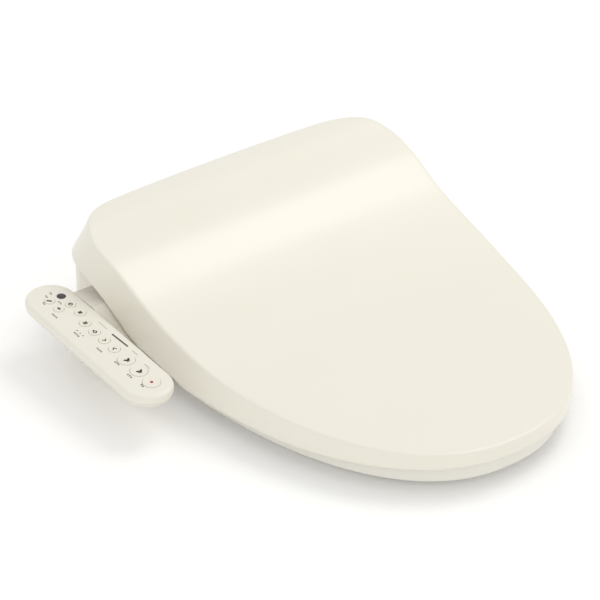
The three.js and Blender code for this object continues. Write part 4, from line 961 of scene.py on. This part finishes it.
@dataclass
class Seat:
    """The dished seat ring with its two horns."""

    lid: Lid
    front_inset: float = 10.5
    side_inset: float = 13.0
    rear_face: float = -118.0
    bottom: float = 8.7
    top: float = 41.0
    wall: float = 3.0
    opening_rear: float = -145.0
    opening_front: float = -388.5
    opening_half_width: float = 105.0
    opening_squareness: float = 2.2
    dish: float = 6.0
    rear_corner: float = 16.0
    arch_lift: float = 17.3
    arch_flat: float = 20.0
    arch_fade: float = 70.0
    arch_start: float = 22.0
    arch_run: float = 18.0
    horn_inner: float = 132.1
    horn_width: float = 28.0
    horn_boss: float = 17.0
    full_band: float = 60.0
    base_thickness: float = 2.4
    joint_gap: float = 0.3
    steps: int = 192
    outer: list[float] = field(init=False)
    inner: list[float] = field(init=False)

    def __post_init__(self) -> None:
        """Measures both outlines from the middle of the opening."""
        self.outer = [self.reach(self.outer_plan(), angle) for angle in self.angles()]
        self.inner = [self.reach(self.opening_plan(), angle) for angle in self.angles()]

    def centre_y(self) -> float:
        """Place of the opening's middle."""
        return (self.opening_rear + self.opening_front) / 2.0

    def angles(self) -> list[float]:
        """Directions of the rays that the rings are spaced on."""
        return [math.pi / 2.0 + i * math.tau / self.steps for i in range(self.steps)]

    def outer_plan(self) -> list[Point]:
        """Draws the seat's outer outline, a little inside the lid's.

        Returns:
            The whole outline.
        """
        half_width = self.lid.mid_half_width - self.side_inset
        front = self.lid.front(half_width, self.lid.front_reach - self.front_inset, 90)
        side = [point for point in front if point[1] < self.rear_face - self.rear_corner]
        centre = (half_width - self.rear_corner - 0.6, self.rear_face - self.rear_corner)
        corner = arc(centre, self.rear_corner, 90.0, 0.0, 14)
        return whole_plan([(0.0, self.rear_face), *corner, *side])

    def opening_plan(self) -> list[Point]:
        """Draws the opening as a super-ellipse.

        Returns:
            The whole outline.
        """
        half_length = (self.opening_rear - self.opening_front) / 2.0
        power = 2.0 / self.opening_squareness
        half = []
        count = 90
        for i in range(count + 1):
            angle = i / count * math.pi
            across = self.opening_half_width * max(0.0, math.sin(angle)) ** power
            along = math.copysign(abs(math.cos(angle)) ** power, math.cos(angle))
            half.append((0.0 if i in (0, count) else across, self.centre_y() + half_length * along))
        return whole_plan(half)

    def reach(self, plan: Sequence[Point], angle: float) -> float:
        """Measures how far a ray from the opening's middle goes before it leaves an outline.

        Args:
            plan: the outline.
            angle: the ray's direction in radians.

        Returns:
            The distance in millimetres.
        """
        dx, dy = math.cos(angle), math.sin(angle)
        for start, end in zip(plan, [*plan[1:], plan[0]]):
            ax, ay = start[0], start[1] - self.centre_y()
            ex, ey = end[0] - start[0], end[1] - start[1]
            across = ex * dy - ey * dx
            if abs(across) < 1e-9:
                continue
            along = (ay * dx - ax * dy) / across
            distance = (ay * ex - ax * ey) / across
            if -1e-9 <= along <= 1.0 + 1e-9 and distance > 0.0:
                return distance
        raise ValueError("the outline does not surround the opening's middle")

    def arch(self, x: float, y: float) -> float:
        """Rise of the underside over the spray nozzle's path.

        Args:
            x: place across.
            y: place along.

        Returns:
            The rise in millimetres.
        """
        across = 1.0 - smoothstep((abs(x) - self.arch_flat) / self.arch_fade)
        along = smoothstep((y - self.opening_rear + self.arch_start) / self.arch_run)
        return self.arch_lift * across * along

    def ring(self, inset: float, height: float, edge: Edge, arched: bool = False) -> Ring:
        """Lists one ring of the seat.

        Args:
            inset: distance in from the outer edge, or out from the opening.
            height: height of the ring.
            edge: the outline that the inset starts from.
            arched: lifts the ring over the nozzle's path.

        Returns:
            The ring's points.
        """
        points = []
        for angle, outer, inner in zip(self.angles(), self.outer, self.inner):
            narrow = clamp01((outer - inner - 2.0 * self.wall) / self.full_band)
            step = inset
            if inset > self.wall:
                step = min(inset, self.wall + (inset - self.wall) * narrow)
            radius = inner + step if edge is Edge.OPENING else outer - step
            x = radius * math.cos(angle)
            y = self.centre_y() + radius * math.sin(angle)
            points.append(Vector((x, y, height + (self.arch(x, y) if arched else 0.0))))
        return points

    def shell(self) -> bmesh.types.BMesh:
        """Builds the ring's upper shell, open underneath.

        Returns:
            A bmesh in millimetres.
        """
        inner_top = self.top - self.dish
        top, wall, bottom = self.top, self.wall, self.bottom
        out, hole = Edge.OUTER, Edge.OPENING
        rows = (
            (0.8, bottom, out, True),
            (0.0, bottom + 0.9, out, True),
            (0.0, top - 12.5, out),
            (0.4, top - 9.0, out),
            (1.5, top - 6.0, out),
            (3.4, top - 3.5, out),
            (6.5, top - 1.6, out),
            (10.0, top - 0.5, out),
            (15.0, top, out),
            (24.0, top - self.dish * 0.12, out),
            (32.0, top - self.dish * 0.3, hole),
            (22.0, top - self.dish * 0.55, hole),
            (12.0, inner_top + 0.9, hole),
            (6.5, inner_top - 0.3, hole),
            (3.0, inner_top - 2.0, hole),
            (0.9, inner_top - 4.4, hole),
            (0.0, inner_top - 7.5, hole),
            (0.0, bottom + 0.9, hole, True),
            (0.8, bottom, hole, True),
            (wall, bottom, hole, True),
            (wall, inner_top - 7.5, hole),
            (8.0, inner_top - wall, hole),
            (15.0, top - wall - 0.6, out),
            (5.5, top - 3.0 - wall, out),
            (wall, top - 12.5, out),
            (wall, bottom, out, True),
        )
        rings = [self.ring(*row) for row in rows]
        return skin([*rings, rings[0]])

    def base(self) -> bmesh.types.BMesh:
        """Builds the flat plate that closes the ring underneath.

        Returns:
            A bmesh in millimetres.
        """
        inset, chamfer = self.wall + self.joint_gap, 0.4
        low, high = self.bottom, self.bottom + self.base_thickness
        out, hole = Edge.OUTER, Edge.OPENING
        rows = (
            (inset, low + chamfer, out), (inset, high, out), (inset, high, hole),
            (inset, low + chamfer, hole), (inset + chamfer, low, hole), (inset + chamfer, low, out),
        )
        rings = [self.ring(*row, True) for row in rows]
        return skin([*rings, rings[0]])

    def horn(self, side: int) -> bmesh.types.BMesh:
        """Builds the horn that reaches back and up to the hinge.

        Args:
            side: -1 for the left, 1 for the right.

        Returns:
            A bmesh in millimetres.
        """
        hinge = (self.lid.hinge_y, self.lid.hinge_z)
        boss = self.horn_boss
        profile = [
            (self.rear_face - 34.0, self.top - 10.0),
            (self.rear_face - 34.0, self.bottom + 12.0),
            (self.rear_face - 4.0, self.bottom + 12.0),
            (-92.0, 35.0),
            *arc(hinge, boss, 245.0, 360.0, 22),
            *arc(hinge, boss, 8.0, 110.0, 20),
            (-4.0, hinge[1] + 8.0),
            (-50.0, 78.0),
            (-92.0, 55.0),
            (self.rear_face - 2.0, self.top + 2.0),
            (self.rear_face - 16.0, self.top - 1.0),
        ]
        return bar(profile, side * self.horn_inner, side * self.horn_width, 1.5)

    def build(self) -> None:
        """Makes the ring and its horns."""
        for name, shape, node in (
            ("seat_ring", self.shell(), "seat_top_shell"),
            ("seat_base", self.base(), "seat_bottom_shell"),
        ):
            piece = finish_piece(name, shape, IVORY_SATIN, "seat", SMOOTH_SHELL)
            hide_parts(node)
        for name, side in SIDES:
            finish_piece(f"seat_horn_{name}", self.horn(side), IVORY_SATIN, "seat")


# ---- Main unit ----


@dataclass
class UpperCase:
    """The unit's upper case, its rear lip trimmed to one height under the lid."""

    lip: float = 74.3
    side_start: float = 19.2
    rear_start: float = 58.0
    hump_half_width: float = 133.0
    reach: float = 210.0
    cut_height: float = 16.0
    side_run: float = 70.0
    rear_run: float = 31.2
    flat_angle: float = 0.5

    def side_trim(self, side: int) -> bmesh.types.BMesh:
        """Builds the cutter that follows the side's slope down to the lip.

        Args:
            side: -1 for the left, 1 for the right.

        Returns:
            A closed bmesh in millimetres.
        """
        start, lip = self.side_start, self.lip
        roof = lip + self.cut_height
        profile = [
            (start, lip + 2.8), (start + 2.3, lip + 1.1), (start + 5.3, lip),
            (start + self.side_run, lip), (start + self.side_run, roof), (start, roof),
        ]
        width = self.reach - self.hump_half_width
        return bar(profile, side * self.hump_half_width, side * width)

    def rear_trim(self) -> bmesh.types.BMesh:
        """Builds the cutter behind the hinge's hump.

        Returns:
            A closed bmesh in millimetres.
        """
        front, rear = self.rear_start, self.rear_start + self.rear_run
        roof = self.lip + self.cut_height
        profile = [(front, self.lip), (rear, self.lip), (rear, roof), (front, roof)]
        return bar(profile, -self.hump_half_width - 1.0, 2.0 * self.hump_half_width + 2.0)

    def build(self) -> None:
        """Makes the case from a copy of its solid."""
        bm = bmesh.new()
        bm.from_mesh(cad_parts["upper_case"].data)
        bmesh.ops.transform(bm, matrix=Matrix.Scale(1.0 / MM, 4), verts=bm.verts)
        bmesh.ops.remove_doubles(bm, verts=bm.verts, dist=COPY_MERGE)
        flat = math.radians(self.flat_angle)
        bmesh.ops.dissolve_limit(bm, angle_limit=flat, verts=bm.verts, edges=bm.edges)
        case = finish_piece("case_top", bm, IVORY_CASE, "main_unit")
        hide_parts("upper_case")
        for cutter in (self.side_trim(-1), self.side_trim(1), self.rear_trim()):
            carve(case, [cutter])
        break_edges(case)


# ---- Control panel ----


class Picture(Enum):
    """The generic picture printed on a key."""

    SPRAY_REAR = "spray_rear"
    SPRAY_FRONT = "spray_front"
    STOP = "stop"
    UP = "up"
    DOWN = "down"
    DROP = "drop"
    WARM = "warm"
    AIR = "air"
    POWER = "power"
    LEAF = "leaf"
    TIP = "tip"


@dataclass(frozen=True)
class Key:
    """One key of the panel.

    Attributes:
        name: the function's name.
        x: place across the panel.
        y: place along the panel.
        radius: radius of the cap.
        picture: what is printed on it.
    """

    name: str
    x: float
    y: float
    radius: float
    picture: Picture


@dataclass
class ControlPanel:
    """The long panel beside the seat: cover, tray, keys, window and prints."""

    lid: Lid
    centre: Vector = field(default_factory=lambda: Vector((-250.0, -86.4, 66.2)))
    tilt: float = 3.65
    half_width: float = 27.4
    half_length: float = 115.0
    edge: float = 4.2
    cover_depth: float = 9.0
    wall: float = 2.2
    tuck: float = 7.0
    tail_end: float = 64.0
    housing_depth: float = 18.5
    arm_front: float = -80.0
    arm_rear: float = 2.0
    arm_low: float = 31.0
    arm_top: float = 68.5
    proud: float = 0.7
    gap: float = 0.35
    rim: float = 1.1
    lens: float = 4.8
    lens_spot: Point = (10.8, 85.2)
    ink_height: float = 0.05
    key_dish: float = 0.28
    lid_clearance: float = 2.5
    disc_low: float = -6.0
    disc_high: float = 3.0
    keys: tuple[Key, ...] = (
        Key("rear_wash", 4.0, -45.0, 9.4, Picture.SPRAY_REAR),
        Key("front_wash", 3.7, -68.0, 9.4, Picture.SPRAY_FRONT),
        Key("stop", 3.4, -91.0, 9.4, Picture.STOP),
        Key("pressure_up", 4.2, -23.0, 6.2, Picture.UP),
        Key("pressure_down", 4.4, -4.6, 6.2, Picture.DOWN),
        Key("water_warm", 4.2, 13.0, 6.2, Picture.DROP),
        Key("seat_warm", 4.6, 31.0, 6.2, Picture.WARM),
        Key("dryer", 10.6, 49.5, 6.2, Picture.AIR),
        Key("power", 10.6, 67.4, 5.6, Picture.POWER),
        Key("energy_save", -4.2, 67.4, 5.6, Picture.LEAF),
        Key("nozzle_clean", -4.2, 84.6, 5.6, Picture.TIP),
    )

    def place(self) -> Matrix:
        """The panel's own place: its top face is z 0, its length runs along y."""
        return Matrix.Translation(self.centre) @ Matrix.Rotation(math.radians(self.tilt), 4, "X")

    def stadium(self, inset: float, steps: int = 28) -> list[Point]:
        """Draws the panel's outline, set in by a distance.

        Args:
            inset: distance in from the edge.
            steps: stretches round each end.

        Returns:
            The outline, counter-clockwise.
        """
        half = self.half_width - inset
        end = self.half_length - self.half_width
        front = arc((0.0, -end), half, 180.0, 360.0, steps)
        rear = arc((0.0, end), half, 0.0, 180.0, steps)
        return front + rear

    def settled(self, bm: bmesh.types.BMesh) -> bmesh.types.BMesh:
        """Moves a shape from the panel's own frame to the whole object's."""
        bmesh.ops.transform(bm, matrix=self.place(), verts=bm.verts)
        return bm

    def cover(self) -> bmesh.types.BMesh:
        """Builds the cover's closed outside with a full round edge on top.

        Returns:
            A bmesh in the panel's own frame.
        """
        rings = [
            lift(self.stadium(0.5), -self.cover_depth),
            lift(self.stadium(0.0), 0.5 - self.cover_depth),
            lift(self.stadium(0.0), -self.edge - 2.0),
        ]
        steps = 7
        for i in range(steps + 1):
            angle = math.radians(90.0 * i / steps)
            inward = self.edge * (1.0 - math.cos(angle))
            rings.append(lift(self.stadium(inward), -self.edge * (1.0 - math.sin(angle))))
        return skin(rings, floor=True, roof=True)

    def tray(self) -> bmesh.types.BMesh:
        """Builds the band under the cover, rounded under at its lower edge.

        Returns:
            A bmesh in the panel's own frame.
        """
        top = -self.cover_depth - 0.3
        steps = ((6.0, 4.6), (3.4, 4.3), (1.7, 3.3), (0.8, 1.9), (0.6, 0.4), (1.0, 0.0))
        rings = [lift(self.stadium(inset), top - down) for inset, down in steps]
        return skin(rings, floor=True, roof=True)

    def housing_outline(self, inset: float) -> list[Point]:
        """Draws the deep housing's outline under the panel.

        Args:
            inset: distance in from the edge.

        Returns:
            The outline, counter-clockwise.
        """
        front = -self.half_length + self.tuck
        half = self.half_width - self.tuck
        corner = 8.0
        centre_y = front + half
        points = arc((0.0, centre_y), half - inset, 180.0, 360.0, 28)
        points += arc((half - corner, self.tail_end - corner), corner - inset, 0.0, 90.0, 10)
        points += arc((-half + corner, self.tail_end - corner), corner - inset, 90.0, 180.0, 10)
        return points

    def housing(self) -> bmesh.types.BMesh:
        """Builds the deep housing with a full round lower edge.

        Returns:
            A bmesh in the panel's own frame.
        """
        top = -self.cover_depth - 3.5
        radius = 4.0
        rings = []
        steps = 7
        for i in range(steps + 1):
            angle = math.radians(90.0 * (1.0 - i / steps))
            inward = radius * (1.0 - math.cos(angle))
            height = -self.housing_depth + radius * (1.0 - math.sin(angle))
            rings.append(lift(self.housing_outline(inward), height))
        rings.append(lift(self.housing_outline(0.0), top))
        return skin(rings, floor=True, roof=True)

    def arm(self) -> bmesh.types.BMesh:
        """Builds the arm between the main unit and the housing, in the whole object's frame.

        Returns:
            A bmesh in millimetres.
        """
        crest = []
        steps = 24
        for i in range(steps + 1):
            y = self.arm_rear + (self.arm_front - self.arm_rear) * i / steps
            height = min(self.lid.skirt_height(y) - self.lid_clearance, self.arm_top)
            crest.append((y, max(height, self.arm_low + 1.0)))
        profile = [(self.arm_front, self.arm_low), (self.arm_rear, self.arm_low), *crest]
        start = self.centre.x + self.half_width + 0.3
        inboard = -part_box("upper_case")[1].x / MM - 0.3
        return bar(profile, start, inboard - start, 0.8)

    def disc(self, spot: Point, radius: float) -> bmesh.types.BMesh:
        """Builds a round cutter that stands on the panel.

        Args:
            spot: its place on the panel.
            radius: its radius.

        Returns:
            A closed bmesh in the whole object's frame.
        """
        low, high = self.disc_low, self.disc_high
        bm = bmesh.new()
        bmesh.ops.create_cone(
            bm, cap_ends=True, segments=56, radius1=radius, radius2=radius, depth=high - low
        )
        bmesh.ops.translate(bm, vec=(spot[0], spot[1], (low + high) / 2.0), verts=bm.verts)
        return self.settled(bm)

    def cap(self, key: Key) -> bmesh.types.BMesh:
        """Turns a key cap: a rounded edge round a shallow dish.

        Args:
            key: the key that it covers.

        Returns:
            A bmesh in the whole object's frame.
        """
        top = self.proud
        low = -self.wall - 0.3 - self.rim
        radius = key.radius
        profile = [
            (0.0, low),
            (radius + self.rim, low),
            (radius + self.rim, low + self.rim),
            (radius, low + self.rim),
            (radius, top - 0.5),
            (radius - 0.15, top - 0.15),
            (radius - 0.5, top),
            (radius - 0.9, top - 0.02),
            (radius - 1.6, top - 0.16),
            (radius * 0.6, top - 0.26),
            (radius * 0.3, top - 0.3),
            (0.0, top - 0.31),
        ]
        bm = turned(profile, 56)
        bmesh.ops.translate(bm, vec=(key.x, key.y, 0.0), verts=bm.verts)
        return self.settled(bm)

    def window(self) -> bmesh.types.BMesh:
        """Turns the domed window over the infrared eye.

        Returns:
            A bmesh in the whole object's frame.
        """
        lens = self.lens
        profile = [
            (0.0, -4.6),
            (lens, -4.6),
            (lens, -0.1),
            (lens - 0.25, 0.25),
            (lens * 0.75, 0.45),
            (lens * 0.4, 0.58),
            (0.0, 0.62),
        ]
        bm = turned(profile, 48)
        bmesh.ops.translate(bm, vec=(*self.lens_spot, 0.0), verts=bm.verts)
        return self.settled(bm)

    def build(self) -> None:
        """Makes the panel's shells, keys, window and prints."""
        shell = self.settled(self.cover())
        cover = finish_piece("panel_top", shell, PANEL_FILM, "main_unit")
        levels = (-self.cover_depth - 1.0, -self.wall)
        pocket = [lift(self.stadium(self.wall), level) for level in levels]
        holes = [((key.x, key.y), key.radius + self.gap) for key in self.keys]
        holes.append((self.lens_spot, self.lens + 0.25))
        carve(cover, [self.settled(skin(pocket, floor=True, roof=True))])
        carve(cover, [self.disc(spot, radius) for spot, radius in holes])
        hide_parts("panel_cover")
        band = self.settled(self.tray())
        finish_piece("panel_band", band, IVORY_CASE, "main_unit")
        deep = self.settled(self.housing())
        housing = finish_piece("panel_housing", deep, IVORY_CASE, "main_unit")
        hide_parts("panel_base")
        finish_piece("panel_arm", self.arm(), IVORY_CASE, "main_unit")
        glass = finish_piece("eye_window", self.window(), WINDOW, "main_unit")
        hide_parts("sensor_lens")
        for key in self.keys:
            body = f"button_{key.name}"
            cap = finish_piece(f"key_{key.name}", self.cap(key), KEY_FILM, body)
            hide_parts(body)
        Prints(self).build()


@dataclass
class Prints:
    """Ink on the panel and on its keys: generic pictures and short strokes without letters."""

    panel: ControlPanel

    def strip(
        self, bm: bmesh.types.BMesh, start: Point, end: Point, width: float, height: float
    ) -> None:
        """Adds one straight stroke of ink.

        Args:
            bm: the print it joins.
            start: one end on the panel.
            end: the other end.
            width: width of the stroke.
            height: height of the face it lies on.
        """
        along = Vector((end[0] - start[0], end[1] - start[1], 0.0))
        middle = Vector(((start[0] + end[0]) / 2.0, (start[1] + end[1]) / 2.0, height))
        made = bmesh.ops.create_cube(bm, size=1.0)["verts"]
        size = Matrix.Diagonal((along.length + width, width, 2.0 * self.panel.ink_height, 1.0))
        turn = Matrix.Rotation(math.atan2(along.y, along.x), 4, "Z")
        bmesh.ops.transform(bm, matrix=Matrix.Translation(middle) @ turn @ size, verts=made)

    def path(
        self, bm: bmesh.types.BMesh, points: Sequence[Point], width: float, height: float
    ) -> None:
        """Adds a bent stroke of ink through several points.

        Args:
            bm: the print it joins.
            points: its bends in order.
            width: width of the stroke.
            height: height of the face it lies on.
        """
        for start, end in zip(points, points[1:]):
            self.strip(bm, start, end, width, height)

    def dot(self, bm: bmesh.types.BMesh, spot: Point, radius: float, height: float) -> None:
        """Adds one round spot of ink.

        Args:
            bm: the print it joins.
            spot: its middle on the panel.
            radius: its radius.
            height: height of the face it lies on.
        """
        made = bmesh.ops.create_cone(
            bm,
            cap_ends=True,
            segments=24,
            radius1=radius,
            radius2=radius,
            depth=2.0 * self.panel.ink_height,
        )["verts"]
        bmesh.ops.translate(bm, vec=(*spot, height), verts=made)

    def strokes(self, bm: bmesh.types.BMesh, spot: Point, count: int, pitch: float) -> None:
        """Adds a caption of short strokes that say nothing, running along the panel.

        Args:
            bm: the print it joins.
            spot: middle of the caption.
            count: number of strokes.
            pitch: distance between strokes.
        """
        x = spot[0]
        rise, line = 0.34 * pitch, 0.26 * pitch
        for i in range(count):
            y = spot[1] + (i - (count - 1) / 2.0) * pitch
            self.strip(bm, (x - rise, y), (x + rise, y), line, 0.0)
            stem = x if i % 2 == 0 else x + rise
            self.strip(bm, (stem, y - rise), (stem, y + rise), line, 0.0)

    def picture(self, key: Key) -> bmesh.types.BMesh:
        """Draws the picture of one key.

        Args:
            key: the key that it is printed on.

        Returns:
            A bmesh in the whole object's frame.
        """
        bm = bmesh.new()
        x, y, r = key.x, key.y, key.radius
        level = self.panel.proud - self.panel.key_dish
        line = 0.17 * r + 0.15
        kind = key.picture
        if kind in (Picture.SPRAY_REAR, Picture.SPRAY_FRONT):
            lean = 0.12 * r if kind is Picture.SPRAY_REAR else -0.12 * r
            self.path(bm, arc((x, y + 0.1 * r), 0.3 * r, 200.0, 340.0, 8), line, level)
            for i in (-1, 0, 1):
                foot = (x + i * 0.12 * r, y - 0.42 * r)
                head = (x + i * 0.2 * r + lean, y + 0.02 * r)
                self.strip(bm, foot, head, 0.5 * line, level)
        elif kind is Picture.STOP:
            self.dot(bm, (x, y), 0.19 * r, level)
        elif kind in (Picture.UP, Picture.DOWN):
            sign = 1.0 if kind is Picture.UP else -1.0
            tip = (x, y + sign * 0.25 * r)
            wings = [(x - 0.3 * r, y - sign * 0.12 * r), tip, (x + 0.3 * r, y - sign * 0.12 * r)]
            self.path(bm, wings, line, level)
        elif kind is Picture.DROP:
            low = arc((x, y - 0.1 * r), 0.26 * r, 150.0, 390.0, 14)
            self.path(bm, [*low, (x, y + 0.42 * r), low[0]], line, level)
        elif kind is Picture.WARM:
            for i in (-1, 0, 1):
                wave = [
                    (x + i * 0.26 * r + 0.07 * r * math.sin(t * 1.6), y - 0.3 * r + t * 0.1 * r)
                    for t in range(7)
                ]
                self.path(bm, wave, 0.8 * line, level)
        elif kind is Picture.AIR:
            for i in (-1, 0, 1):
                wave = [
                    (x - 0.3 * r + t * 0.1 * r, y + i * 0.24 * r + 0.06 * r * math.sin(t * 1.6))
                    for t in range(7)
                ]
                self.path(bm, wave, 0.8 * line, level)
        elif kind is Picture.POWER:
            self.path(bm, arc((x, y), 0.34 * r, 125.0, 415.0, 18), line, level)
            self.strip(bm, (x, y + 0.1 * r), (x, y + 0.42 * r), line, level)
        elif kind is Picture.LEAF:
            self.path(bm, arc((x - 0.2 * r, y), 0.42 * r, -50.0, 50.0, 8), line, level)
            self.path(bm, arc((x + 0.34 * r, y), 0.42 * r, 130.0, 230.0, 8), line, level)
        else:
            self.strip(bm, (x - 0.3 * r, y + 0.2 * r), (x + 0.1 * r, y - 0.2 * r), 2.2 * line, level)
            self.dot(bm, (x + 0.3 * r, y - 0.36 * r), 0.08 * r, level)
        return self.panel.settled(bm)

    def build(self) -> None:
        """Prints every key and the panel's face."""
        for key in self.panel.keys:
            ink = INK_RED if key.picture is Picture.STOP else INK
            body = f"button_{key.name}"
            finish_piece(f"picture_{key.name}", self.picture(key), ink, body)
        dark, pale = bmesh.new(), bmesh.new()
        for spot, count, pitch in (
            ((-7.5, -44.8), 3, 2.8), ((-9.1, -69.8), 3, 2.8), ((-7.9, -90.1), 2, 3.0),
            ((-14.0, 19.8), 4, 2.6), ((-14.7, 59.4), 4, 2.5), ((-11.8, 84.0), 2, 2.6),
            ((-9.7, -15.7), 4, 2.5), ((4.1, 95.3), 2, 2.5), ((-2.7, 93.0), 2, 2.5),
            ((2.9, 76.0), 3, 2.3),
        ):
            self.strokes(dark, spot, count, pitch)
        self.strip(dark, (17.0, -1.0), (18.2, -26.0), 2.0, 0.0)
        self.path(pale, [(17.5, 10.0), (17.5, 24.5)], 0.7, 0.0)
        for spot in ((17.8, -40.4), (15.0, -65.9)):
            self.strokes(pale, spot, 5, 1.9)
        for i in range(3):
            self.dot(dark, (-9.5, 14.0 + 5.5 * i), 0.8, 0.0)
        for name, bm, ink in (("panel_print", dark, INK), ("panel_print_pale", pale, INK_PALE)):
            finish_piece(name, self.panel.settled(bm), ink, "main_unit")


# ---- Studio ----


@dataclass(frozen=True)
class SoftBox:
    """One square light: its name, place, width in metres and power in watts."""

    name: str
    spot: tuple[float, float, float]
    size: float
    power: float


SOFT_BOXES = (
    SoftBox("key_box", (1.4, -0.15, 2.6), 1.4, 18.0),
    SoftBox("front_box", (-1.6, -2.4, 2.0), 1.8, 6.0),
)


@dataclass
class Studio:
    """Floor, light and camera."""

    lens: float = 206.9
    sensor: float = 36.0
    camera_spot: Vector = field(default_factory=lambda: Vector((-1.8718, -2.5885, 2.0010)))
    camera_aim: Vector = field(default_factory=lambda: Vector((0.5075, 0.6750, -0.5355)))
    camera_roll: float = 0.147
    floor_size: float = 30.0
    sky: float = 0.84
    floor_glow: float = 0.07
    floor_drop: float = 0.0004
    light_aim: Vector = field(default_factory=lambda: Vector((0.0, -0.18, 0.05)))

    def floor(self) -> None:
        """Lays a wide pale floor just under the feet."""
        bm = bmesh.new()
        bmesh.ops.create_grid(bm, x_segments=1, y_segments=1, size=self.floor_size)
        bmesh.ops.translate(bm, vec=(0.0, 0.0, -self.floor_drop), verts=bm.verts)
        mesh = bpy.data.meshes.new("studio_floor")
        bm.to_mesh(mesh)
        bm.free()
        paint = bpy.data.materials.new("studio_paper_white")
        paint.use_nodes = True
        shader = paint.node_tree.nodes["Principled BSDF"]
        shader.inputs["Base Color"].default_value = linear("#FBFBFA")
        shader.inputs["Roughness"].default_value = 0.9
        shader.inputs["Specular IOR Level"].default_value = 0.0
        shader.inputs["Emission Color"].default_value = (1.0, 1.0, 1.0, 1.0)
        shader.inputs["Emission Strength"].default_value = self.floor_glow
        mesh.materials.append(paint)
        floor = bpy.data.objects.new("studio_floor", mesh)
        bpy.context.scene.collection.objects.link(floor)

    def light(self, soft_box: SoftBox) -> None:
        """Hangs one soft box and aims it at the seat.

        Args:
            soft_box: where it hangs, its size and its power.
        """
        lamp = bpy.data.lights.new(soft_box.name, "AREA")
        lamp.shape = "SQUARE"
        lamp.size = soft_box.size
        lamp.energy = soft_box.power
        lamp.color = (1.0, 0.985, 0.96)
        box = bpy.data.objects.new(soft_box.name, lamp)
        bpy.context.scene.collection.objects.link(box)
        box.location = soft_box.spot
        box.rotation_mode = "QUATERNION"
        aim = self.light_aim - Vector(soft_box.spot)
        box.rotation_quaternion = aim.to_track_quat("-Z", "Y")

    def build(self) -> None:
        """Sets up the camera, the sky, the soft boxes and the floor."""
        scene = bpy.context.scene
        scene.view_settings.view_transform = "Standard"
        data = bpy.data.cameras.new("camera")
        data.lens = self.lens
        data.sensor_width = self.sensor
        camera = bpy.data.objects.new("camera", data)
        scene.collection.objects.link(camera)
        camera.location = self.camera_spot
        camera.rotation_mode = "QUATERNION"
        turn = self.camera_aim.to_track_quat("-Z", "Y")
        roll = Matrix.Rotation(math.radians(self.camera_roll), 3, "Z").to_quaternion()
        camera.rotation_quaternion = turn @ roll
        scene.camera = camera
        world = bpy.data.worlds.new("studio_sky")
        scene.world = world
        world.use_nodes = True
        backdrop = world.node_tree.nodes["Background"]
        backdrop.inputs["Color"].default_value = (1.0, 1.0, 1.0, 1.0)
        backdrop.inputs["Strength"].default_value = self.sky
        for soft_box in SOFT_BOXES:
            self.light(soft_box)
        self.floor()


def main() -> None:
    """Builds the object, dresses its solids and sets up the studio."""
    logging.basicConfig(level=logging.INFO, format="%(name)s: %(message)s")
    Studio().build()
    lid = Lid()
    lid.build()
    Seat(lid).build()
    UpperCase().build()
    ControlPanel(lid).build()
    for finish, slot, names in KEPT_SOLIDS:
        for name in names:
            dress_node(name, finish)
    bpy.context.view_layer.update()


if __name__ == "__main__":
    main()
